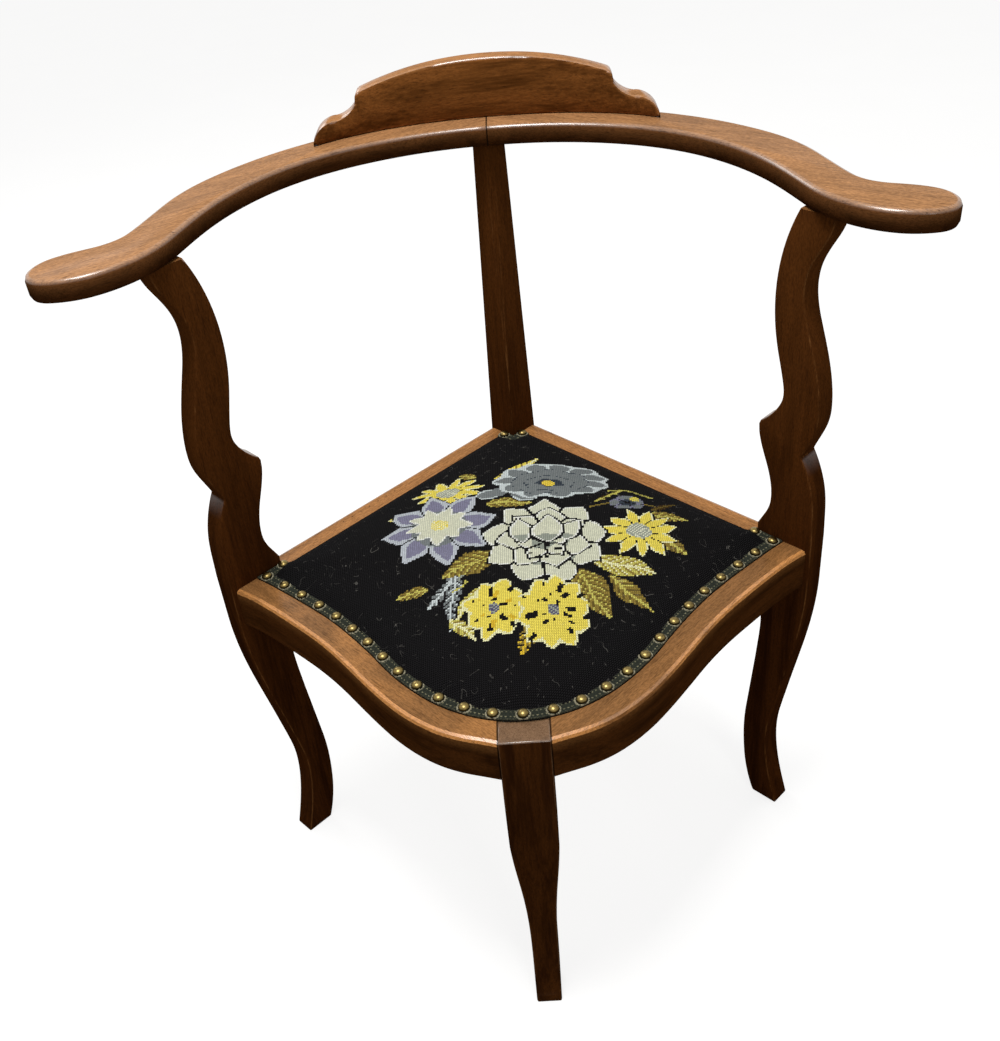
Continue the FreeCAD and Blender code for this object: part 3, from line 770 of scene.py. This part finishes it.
def leaf(x, y, stalk, point, wide, tones):
    """A pointed leaf from its stalk to its point, with a pale rib, veins and a saw edge."""
    body, rib, dark = tones
    along, across, long = beside(x, y, stalk, point)
    if not 0 < along < 1:
        return None
    across = abs(across)
    saw = 1.6 * (along * long / 6.5 % 1.0)
    if across > wide * math.sin(math.pi * along ** 0.8) ** 0.8 - saw:
        return None
    if across < 1.2:
        return rib
    vein = (along * long - across * 1.1) % 8.5
    return rib if vein < 1.7 and across < wide * 0.75 else dark if vein > 6.0 else body


def petal(x, y, root, tip, wide, tones):
    """One broad pointed petal with a pale edge, and the ground as a line round it."""
    edge, body, deep = tones
    along, across, long = beside(x, y, root, tip)
    if not 0 < along < 1:
        return None
    outside = abs(across) - wide * math.sin(math.pi * along ** 0.9) ** 0.9
    if outside > 2.4:
        return None
    return "ground" if outside > 0 else edge if outside > -2.4 else deep if along < 0.3 else body


def stem(x, y, start_at, end_at, bow, tone):
    """A thin bent stem, one stitch wide."""
    along, across, _ = beside(x, y, start_at, end_at)
    if 0 <= along <= 1 and abs(across - bow * math.sin(math.pi * along)) < 1.3:
        return tone
    return None


def flecks(x, y, centre, ring, count, turned, squash, size, tone):
    """Small spots of uneven size in a loose ring, where the ground shows between petals."""
    dx, dy = x - centre[0], (y - centre[1]) / squash
    step = 2 * math.pi / count
    turn = math.atan2(dy, dx) - turned + step / 2
    number, off = turn // step % count, turn % step - step / 2
    radius = math.hypot(dx, dy)
    ring *= 1 + 0.16 * math.sin(number * 2.3 + ring)
    size *= 0.85 + 0.5 * math.sin(number * 1.7 + 0.6)
    if abs(radius * math.sin(off)) < size and abs(radius * math.cos(off) - ring) < size * 1.7:
        return tone
    return None


print("on the middle line of a leaf:", leaf(0, 10, (0, 0), (0, 40), 9, ("body", "rib", "dark")))

# %% Set out the bouquet
# Each form has its places in millimetres from the middle of the seat, its sizes and its wools. The first
# forms lie behind the last.
OLIVE = ("olive", "leaf", "dark_olive")
BRIGHT = ("leaf", "lemon", "olive")
SPRIG = ("slate", "ice", "ground")
YELLOW = ("lemon", "yellow", "yellow")
PALE = ("ivory", "cream", "grey")
BOUQUET = [
    (leaf, (-60, -34), (-66, -132), 9, SPRIG), (leaf, (-62, -50), (-88, -96), 7, SPRIG),
    (stem, (-58, -60), (-36, -50), 4, "grey"), (stem, (-66, -76), (-50, -62), -3, "leaf"),
    (leaf, (-20, -22), (-74, -52), 17, OLIVE), (leaf, (-44, 122), (-64, 134), 7, OLIVE),
    (leaf, (-30, 66), (20, 62), 9, OLIVE), (leaf, (-88, -66), (-122, -72), 9, OLIVE),
    (leaf, (58, -52), (84, -122), 18, OLIVE), (leaf, (88, -62), (128, -112), 11, OLIVE),
    (leaf, (74, -40), (138, -58), 15, BRIGHT), (leaf, (128, 6), (172, -34), 11, OLIVE),
    (leaf, (134, 34), (178, 20), 10, OLIVE), (leaf, (-36, -70), (-58, -116), 7, BRIGHT),
    (leaf, (-68, -112), (-40, -142), 8, BRIGHT),
    (leaf, (18, -122), (0, -168), 9, ("olive", "gold", "ground")),
    (leaf, (84, 58), (118, 88), 5, ("brown", "leaf", "ground")), (stem, (78, 46), (150, 50), 12, "olive"),
    (leaf, (-22, 108), (30, 156), 8, ("yellow", "lemon", "olive")), (stem, (100, 84), (146, 70), 6, "leaf"),
    (leaf, (-100, 54), (-138, 58), 7, ("yellow", "lemon", "gold")),
    (leaf, (142, 42), (172, 58), 6, ("brown", "dark_olive", "brown")),
    (petals, (-72, 98), 8, 41, 11, 0.2, 0.72, 6.2, 1.1, YELLOW, 1.6, 0.4),
    (heart, (-72, 98), 13, 0.7, ("cream", "grey")),
    (petals, (120, 56), 3, 19, 5, 0.5, 0.8, 9.0, 1.8, ("lilac", "slate", "deep_slate"), 2.0, 0.5),
    (heart, (128, 64), 6, 0.7, ("yellow", "leaf")),
    (petals, (-6, 88), 2, 40, 3, 3.4, 0.7, 14.0, 1.2, ("ice", "slate", "slate"), 3.4, 0.8),
    (petals, (42, 106), 6, 65, 11, 0.25, 0.6, 21.0, 1.9, ("ice", "slate", "slate"), 9.5, -0.5),
    (petals, (40, 102), 4, 44, 7, 0.6, 0.6, 20.0, 1.7, ("deep_slate", "slate", "slate"), 2.2, -0.5),
    (petals, (39, 99), 4, 28, 5, 0.1, 0.6, 15.0, 1.5, ("deep_slate", "slate", "deep_slate"), 2.0, -0.5),
    (heart, (38, 97), 7, 0.9, ("yellow", "gold")),
    (petals, (-80, 30), 10, 62, 8, 0.18, 1.04, 15.5, 0.95, ("pale_lilac", "lilac", "slate"), 6.0, 0.9, 0.9),
    (petals, (-80, 34), 6, 36, 9, 0.55, 0.95, 9.0, 0.8, ("ivory", "cream", "cream"), 2.0, -0.1, 0.9),
    (heart, (-80, 34), 9, 0.9, ("yellow", "lemon")),
    (petals, (126, 2), 8, 41, 11, 0.1, 0.95, 7.0, 0.9, YELLOW, 1.6, 0.6, 0.9),
    (heart, (126, 2), 13, 0.9, ("cream", "grey")),
    (petals, (29, -4), 24, 64, 9, 0.12, 1.08, 19.0, 0.95, PALE, 2.2, 1.5, 0.9),
    (petals, (29, -2), 10, 48, 7, 0.5, 1.05, 17.0, 0.95, PALE, 2.2, 1.5, 0.9),
    (petals, (27, -12), 2, 27, 5, 4.2, 0.9, 10.0, 0.95, PALE, 2.0, 1.5, 0.9),
    (petal, (8, -8), (2, 34), 12, PALE), (petal, (48, -6), (64, 26), 11, PALE),
    (petal, (32, -12), (34, 36), 16, PALE),
    (flecks, (28, -26), 13, 7, 0.4, 0.7, 2.0, "ground"),
    (petals, (-22, -104), 2, 31, 8, 0.5, 1.34, 11.5, 1.15, YELLOW, 3.0, -0.1),
    (petals, (33, -112), 2, 36, 10, 0.2, 1.4, 11.5, 1.2, YELLOW, 3.0, -0.1),
    (flecks, (-22, -104), 21, 7, 0.9, 1.34, 2.0, "ground"),
    (flecks, (-22, -104), 11, 5, 0.2, 1.3, 1.7, "ground"),
    (flecks, (33, -112), 27, 9, 0.52, 1.4, 2.0, "ground"),
    (flecks, (33, -112), 18, 8, 0.1, 1.3, 1.9, "ground"),
    (flecks, (33, -112), 11, 5, 0.9, 1.3, 1.4, "ground"),
    (flecks, (-22, -104), 16, 6, 0.4, 1.3, 1.8, "gold"),
    (heart, (-22, -104), 5.5, 1.3, ("violet", "grey")),
    (heart, (33, -112), 6, 1.2, ("violet", "grey")),
]


def wool_at(x, y):
    """The wool at a place in millimetres. Sines bend the forms a little, as a hand-drawn chart is."""
    x += 1.3 * math.sin(y / 8.0 + 1.0) + 0.8 * math.sin(x / 5.0)
    y += 1.3 * math.sin(x / 7.0) + 0.8 * math.sin(y / 4.6 + 2.0)
    wool = "ground"
    for flower, *form in BOUQUET:
        wool = flower(x, y, *form) or wool
    return wool


print("flowers and leaves:", len(BOUQUET), "wool in the middle:", wool_at(29, 2))

# %% [markdown]
# ## The needlework cover
# Two levels of subdivision make one small square of each stitch. The cover keeps its flat place on the
# canvas in a UV map, because the cloth stretches but its stitches stay in their rows. Each square takes its
# wool's colour, and the material adds what a stitch has: a slant, a round top and a shade of its own.
# The gaps between the stitches are painted dark, as painted shade.

# %% Make the wool material
def woollen(name):
    """Slanted stitches, each with a tone of its own, painted shade in the gaps between them, and a few stray
    hairs lying on them.
    """
    material, shader, start = new_finish(name, {"Roughness": 0.95, "Specular IOR Level": 0.02})
    canvas = start.node("ShaderNodeUVMap", {"uv_map": "canvas"})
    wool = start.node("ShaderNodeAttribute", {"attribute_name": "wool"}, None, "Color")
    x, y = axis(canvas, "X"), axis(canvas, "Y")
    stitch = x.node("ShaderNodeCombineXYZ", None, {"X": x.sum_of("FLOOR", x), "Y": y.sum_of("FLOOR", y)})
    own = x.node("ShaderNodeTexWhiteNoise", {"noise_dimensions": "2D"}, {"Vector": stitch}, "Value")
    u, v = fraction(x) - 0.5, fraction(y) - 0.5
    top = 1 - fade(abs(u - v), 0.12, 0.62) - fade(abs(u + v), 0.5, 0.95) * 0.7
    dark_wool = 1 - fade(wool.node("ShaderNodeRGBToBW", None, {0: wool}), 0.05, 0.12)
    # Painted shade: the gaps between the stitches are darkened, more for dark wool, as shade falls there.
    painted_gap_shade = fade(1 - top, 0.25 - dark_wool * 0.2, 0.95 - dark_wool * 0.3)
    curl = cloudy(canvas, 0.11, 1.0, Distortion=0.8)
    tuft = fade(cloudy(canvas, 0.24, 1.0), 0.52, 0.58)
    stray = (1 - fade(abs(fraction(curl * 4) - 0.5), 0.006, 0.026)) * tuft
    wool_gap_shade_and_hairs = washed(wool, (painted_gap_shade * (0.66 + dark_wool * 0.3), shade(5, 5, 5)), (own * 0.14, shade(20, 19, 18)),
                 (stray * 0.26, shade(150, 146, 138)))
    fluff = cloudy(canvas, 2.3, 4.0, Roughness=0.7)
    feed(shader, {"Base Color": wool_gap_shade_and_hairs, "Normal": relief(top + fluff * 0.25, 0.6, 0.0006)})
    return material


needlework = woollen("needlework_wool")
print("nodes of the wool:", len(needlework.node_tree.nodes))

# %% Stitch the cover
FLOWERS_BACK = 24.2
canvas_map = cloth.loops.layers.uv.new("canvas")
flat = cloth.verts.layers.float_vector["on_seat"]
smoothed(cloth)
for face in cloth.faces:
    for corner in face.loops:
        corner[canvas_map].uv = corner.vert[flat].xy / STITCH
coarse = bpy.data.meshes.new("seat_needlework_coarse")
cloth.to_mesh(coarse)
cover = in_scene("seat_needlework", coarse)
finer = cover.modifiers.new("stitches", "SUBSURF")
finer.levels = finer.render_levels = 2
finer.uv_smooth = "NONE"
finer.boundary_smooth = "PRESERVE_CORNERS"
evaluated = cover.evaluated_get(bpy.context.evaluated_depsgraph_get())
fine_mesh = bpy.data.meshes.new_from_object(evaluated)
cover.modifiers.clear()
cover.data = fine_mesh
fine_mesh.name = "seat_needlework"
colours = fine_mesh.color_attributes.new("wool", "FLOAT_COLOR", "CORNER")
corner_uv = fine_mesh.uv_layers["canvas"].data
for face in fine_mesh.polygons:
    middle = sum((corner_uv[i].uv for i in face.loop_indices), Vector((0, 0))) / face.loop_total
    at_x, at_y = ((math.floor(c) + 0.5) * STITCH * 1000 for c in middle)
    for i in face.loop_indices:
        colours.data[i].color = WOOLS[wool_at(at_x, at_y + FLOWERS_BACK)]
    face.use_smooth = True
fine_mesh.materials.append(needlework)
thick = cover.modifiers.new("cloth_thickness", "SOLIDIFY")
thick.thickness, thick.offset = 0.0008, -1.0
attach(cover, "root")
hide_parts("seat_cover")
tell(cover)

# %% [markdown]
# ## Under the cover
# The pad, the hessian and the jute webbing carry the sitter. From below, a seat shows its webbing: straps
# woven over and under each other, so each rises and falls by its own thickness at the crossings.

# %% Make coarse cloths
def coarse_cloth(name, light, dark, pitch):
    """Plain weave of two threads, on Object coordinates, painted darker where the threads dip between each
    other, as painted shade, and with a random tone of hairs.
    """
    material, shader, start = new_finish(name, {"Roughness": 0.9, "Specular IOR Level": 0.1})
    place = start.node("ShaderNodeMapping", None, {
        "Vector": start.node("ShaderNodeTexCoord", out="Object"),
        "Rotation": (0, 0, math.radians(45)), "Scale": (1 / pitch,) * 3})
    wave_x, wave_y = sine(axis(place, "X") * math.pi), sine(axis(place, "Y") * math.pi)
    over = wave_x * wave_y > 0.0
    thread = over * abs(wave_x) + (1 - over) * abs(wave_y)
    hairs = cloudy(place, 1.4, 4.0)
    # Partly painted shade: darker where the threads dip between each other; the hairs add a random tone of
    # their own.
    colour = tint(fade(thread * 0.7 + hairs * 0.4, 0.25, 0.9), dark, light)
    feed(shader, {"Base Color": colour, "Normal": relief(thread + hairs * 0.3, 0.6, 0.0005)})
    return material


jute = coarse_cloth("jute_webbing", shade(168, 134, 88), shade(92, 68, 40), 0.0022)
sacking = coarse_cloth("hessian_cloth", shade(160, 130, 90), shade(70, 52, 32), 0.0018)
hair = coarse_cloth("horsehair_pad", shade(92, 80, 66), shade(40, 33, 27), 0.0031)
print("coarse cloths:", jute.name, sacking.name, hair.name)

# %% Make the stuffing and the hessian
PAD_EDGE, UNDER_COVER, OVER_HESSIAN = 0.008, 0.0035, 0.0004
pad = cloth.copy()
edge_faces = [f for f in pad.faces if min(v.co.z for v in f.verts) < rim + PAD_EDGE]
bmesh.ops.delete(pad, geom=edge_faces, context="FACES")
bmesh.ops.delete(pad, geom=[v for v in pad.verts if not v.link_faces], context="VERTS")
bmesh.ops.recalc_face_normals(pad, faces=pad.faces)
for vert in pad.verts:
    vert.co.z -= UNDER_COVER
foot, _ = pushed_out(pad, open_edges(pad))
for vert in foot:
    vert.co.z = hessian_z + OVER_HESSIAN
filled(pad)
smoothed(pad)
stuffing = as_piece(pad, "seat_stuffing_pad", ["seat_stuffing"], hair)
tell(stuffing)

sack = seat_grid()
for vert in sack.verts:
    vert.co.z = hessian_z - 0.0001
smoothed(sack)
hessian_piece = as_piece(sack, "hessian_sheet", ["hessian"], sacking)
stiff = hessian_piece.modifiers.new("cloth_thickness", "SOLIDIFY")
stiff.thickness, stiff.offset = (hessian_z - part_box("hessian")[0].z) * 0.8, -1.0
tell(hessian_piece)

# %% Weave the webbing
def parts_of(shape):
    """The separate parts of a shape, each as a list of its vertices."""
    seen, parts = set(), []
    for vert in shape.verts:
        part, queue = [], [vert]
        while queue:
            here = queue.pop()
            if here not in seen:
                seen.add(here)
                part.append(here)
                queue += [edge.other_vert(here) for edge in here.link_edges]
        if part:
            parts.append(part)
    return parts


WAYS = (Vector((1, 1, 0)).normalized(), Vector((1, -1, 0)).normalized())


def lie_of(part):
    """Which of the two ways a strap lies, and where its middle is across it."""
    reach = [[vert.co.dot(way) for vert in part] for way in WAYS]
    lies = 0 if max(reach[0]) - min(reach[0]) > max(reach[1]) - min(reach[1]) else 1
    across = reach[1 - lies]
    return lies, (min(across) + max(across)) / 2


webs = joined_copy("webbing")
straps = [lie_of(part) for part in parts_of(webs)]
middles = [sorted(middle for lies, middle in straps if lies == way) for way in (0, 1)]
print("straps one way and the other:", [len(found) for found in middles])
HALF_STRAP = 0.025
NEAR_BEND, FAR_BEND = HALF_STRAP + 0.001, HALF_STRAP + 0.009
for lies in (0, 1):
    for middle in middles[1 - lies]:
        for reach in (-FAR_BEND, -NEAR_BEND, NEAR_BEND, FAR_BEND):
            bmesh.ops.bisect_plane(webs, geom=everything(webs), dist=1e-6,
                                   plane_co=WAYS[lies] * (middle + reach), plane_no=WAYS[lies])
web_low, web_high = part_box("webbing")
strap_thick = (web_high.z - web_low.z) / 2
for part in parts_of(webs):
    lies, middle = lie_of(part)
    own_number = min(range(len(middles[lies])), key=lambda i: abs(middles[lies][i] - middle))
    under = sum(vert.co.z for vert in part) / len(part) < (web_low.z + web_high.z) / 2
    for vert in part:
        along = vert.co.dot(WAYS[lies])
        crossed = min(range(len(middles[1 - lies])), key=lambda i: abs(middles[1 - lies][i] - along))
        if (own_number + crossed) % 2 and abs(middles[1 - lies][crossed] - along) < NEAR_BEND + 0.001:
            vert.co.z += strap_thick if under else -strap_thick
bmesh.ops.recalc_face_normals(webs, faces=webs.faces)
tell(as_piece(webs, "webbing_straps", ["webbing"], jute))

# %% [markdown]
# ## Braid and dome nails
# The edge of the cover is hidden by gimp, a narrow braid of dark cotton with a paler thread that winds along
# it, and brass dome nails hold it down. The nails are found first, because a loop of thread goes round each.
# The braid is a row of points pushed out again and again across its width, with its cords raised by a
# formula. A nail is the top of a ball, at the place of the CAD nail that it stands for.

# %% Find the nails
def spots_of(node):
    """The lowest and highest corner of each nail of a CAD node."""
    shape = joined_copy(node)
    found = [tuple(Vector([pick(vert.co[i] for vert in part) for i in range(3)]) for pick in (min, max))
             for part in parts_of(shape)]
    shape.free()
    return found


NAILS = ("dome_nails_left", "dome_nails_right", "dome_nails_rear")
nail_spots = {node: spots_of(node) for node in NAILS}
nail_middles = [((low + high) / 2).xy for spots in nail_spots.values() for low, high in spots]
print("nails:", len(nail_middles))

# %% Colour the braid
WAVE, NAIL_LOOP = 0.0082, 0.0062
gimp, gimp_shader, start = new_finish("gimp_braid", {"Roughness": 0.85, "Specular IOR Level": 0.15})
braid_map = start.node("ShaderNodeUVMap", {"uv_map": "braid"})
along, across = axis(braid_map, "X"), axis(braid_map, "Y") * 2 - 1
wave = sine(along * (2 * math.pi * BRAID / WAVE)) * 0.5
nearer = along.sum_of("MINIMUM", abs(across - wave), abs(across + wave))
twist = abs(sine(along * 62.0 + across * 9.0))
edging = fade(abs(across), 0.74, 0.84)
pale = (1 - fade(nearer, 0.04, 0.16)) * fade(abs(across), 0.3, 0.5)
dust = cloudy(start.node("ShaderNodeTexCoord", out="Object"), 900.0, 3.0)
to_nail = start.node("ShaderNodeAttribute", {"attribute_name": "from_nail"}, None, "Fac")
loop = 1 - fade(abs(to_nail - NAIL_LOOP + (dust - 0.5) * 0.002), 0.0003, 0.001)
gimp_colour = washed(
    tint(fade(twist * 0.6 + dust * 0.5, 0.3, 0.9), shade(17, 19, 16), shade(52, 56, 46)),
    (pale * fade(dust, 0.38, 0.5) * 0.8, shade(150, 144, 112)),
    (edging * twist * fade(dust, 0.45, 0.6) * 0.5, shade(124, 120, 94)),
    (loop * fade(dust, 0.36, 0.52) * 0.8, shade(178, 170, 142)))
feed(gimp_shader, {"Base Color": gimp_colour, "Normal": relief(twist + dust * 0.5, 0.5, 0.0005)})
print("waves of the cord in one width of the braid: %.2f" % (BRAID / WAVE))


# %% Weave a braid along a line
ROWS = 14
STEP = 0.0009
BODY, CORD, FALL, LOOP = 0.0014, 0.0013, 0.0011, 0.0007


def bell(value, wide):
    """1 at zero, and soon nothing on both sides of it."""
    return math.exp(-(value / wide) ** 2)


def flat_place(vert):
    return round(vert.co.x, 7), round(vert.co.y, 7)


def braid_strip(chain, name, stands_for, material):
    """A braid along a chain of points, to the left of it."""
    ways = [(b - a).normalized() for a, b in zip(chain, chain[1:])]
    sides = [Vector((-way.y, way.x)) for way in ways]
    mitres = [sides[0]] + [(a + b) / (1 + a.dot(b)) for a, b in zip(sides, sides[1:])] + [sides[-1]]
    stops, gone = [], 0.0
    for a, b, m, n in zip(chain, chain[1:], mitres, mitres[1:]):
        long = (b - a).length
        steps = max(1, round(long / STEP))
        stops += [(a.lerp(b, i / steps), m.lerp(n, i / steps), gone + long * i / steps)
                  for i in range(steps)]
        gone += long
    stops.append((chain[-1], mitres[-1], gone))
    shape = bmesh.new()
    uv = shape.loops.layers.uv.new("braid")
    mark = shape.verts.layers.float_vector.new("mark")
    from_nail = shape.verts.layers.float.new("from_nail")
    layers = [[shape.verts.new((p.x, p.y, 0)) for p, _, _ in stops]]
    line = [shape.edges.new(pair) for pair in zip(layers[0], layers[0][1:])]
    for _ in range(ROWS):
        made, line = pushed_out(shape, line)
        new_row = {flat_place(v): v for v in made}
        layers.append([new_row[flat_place(v)] for v in layers[0]])
    for number, layer in enumerate(layers):
        across = number / ROWS
        v = 2 * across - 1
        for vert, (place, mitre, along) in zip(layer, stops):
            wave = 0.5 * math.sin(2 * math.pi * along / WAVE)
            cords = max(bell(v - wave, 0.26), bell(v + wave, 0.26), 0.75 * bell(abs(v) - 0.86, 0.12))
            spot = place + mitre * (BRAID * (across * 0.985 + 0.0075))
            vert[mark] = (along / BRAID, across, 0)
            vert[from_nail] = min((middle - spot).length for middle in nail_middles)
            vert.co = (spot.x, spot.y, rim + BODY + CORD * cords - FALL * max(0.0, abs(v) - 0.93) / 0.07
                       + LOOP * bell(vert[from_nail] - NAIL_LOOP, 0.0006))
    smoothed(shape)
    for face in shape.faces:
        for corner in face.loops:
            corner[uv].uv = corner.vert[mark].xy
    bmesh.ops.recalc_face_normals(shape, faces=shape.faces)
    if sum(face.normal.z for face in shape.faces) < 0:
        bmesh.ops.reverse_faces(shape, faces=shape.faces)
    piece = as_piece(shape, name, stands_for, material)
    body = piece.modifiers.new("braid_body", "SOLIDIFY")
    body.thickness, body.offset = 0.0009, -1.0
    print("%s is %.0f mm long" % (name, gone * 1000))
    tell(piece)


print("a braid has", ROWS + 1, "rows of points")

# %% Lay the braids
count = len(seat_outline)
straight = sorted(range(count), key=lambda i: (seat_sides[i][1] - seat_sides[i][0]).length)[-2:]
left_run, right_run = sorted(straight, key=lambda i: seat_sides[i][0].x + seat_sides[i][1].x)


def along_outline(start_at, stop_at):
    """The points of the outline from one number up to another, past its end where need be."""
    return [seat_outline[i % count] for i in range(start_at, stop_at + count * (stop_at < start_at))]


braid_strip(along_outline(left_run + 2, right_run), "braid_front", ["braid_left", "braid_right"], gimp)
braid_strip(along_outline(right_run + 1, left_run + 1), "braid_round_rear_post", ["braid_rear"], gimp)

# %% Drive the dome nails
NAIL_HALF, NAIL_TALL = 0.565, 1.15
brass, brass_shader, start = new_finish("old_brass", {"Metallic": 1.0})
tarnish = cloudy(start.node("ShaderNodeTexCoord", out="Object"), 420.0, 4.0)
facing = axis(start.node("ShaderNodeTexCoord", out="Normal"), "Z")
rubbed_top = fade(facing + (tarnish - 0.5) * 0.5, 0.35, 0.95)
brass_colour = tint(rubbed_top, shade(50, 41, 20), shade(134, 116, 70))
feed(brass_shader, {"Base Color": brass_colour, "Roughness": 0.52 - rubbed_top * 0.2})

for node in NAILS:
    nails = bmesh.new()
    for low, high in nail_spots[node]:
        dome = bmesh.ops.create_uvsphere(nails, u_segments=20, v_segments=14, radius=1.0)["verts"]
        size, spot = high - low, (low + high) / 2
        matrix = Matrix.Translation((spot.x, spot.y, low.z)) @ Matrix.Diagonal(
            (size.x * NAIL_HALF, size.x * NAIL_HALF, size.z * NAIL_TALL, 1))
        bmesh.ops.transform(nails, matrix=matrix, verts=dome)
    bmesh.ops.bisect_plane(nails, geom=everything(nails), dist=1e-7, plane_co=(0, 0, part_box(node)[0].z),
                           plane_no=(0, 0, -1), clear_outer=True)
    filled(nails)
    for face in nails.faces:
        face.smooth = len(face.verts) < 8
    tell(as_piece(nails, node + "_brass", [node], brass))
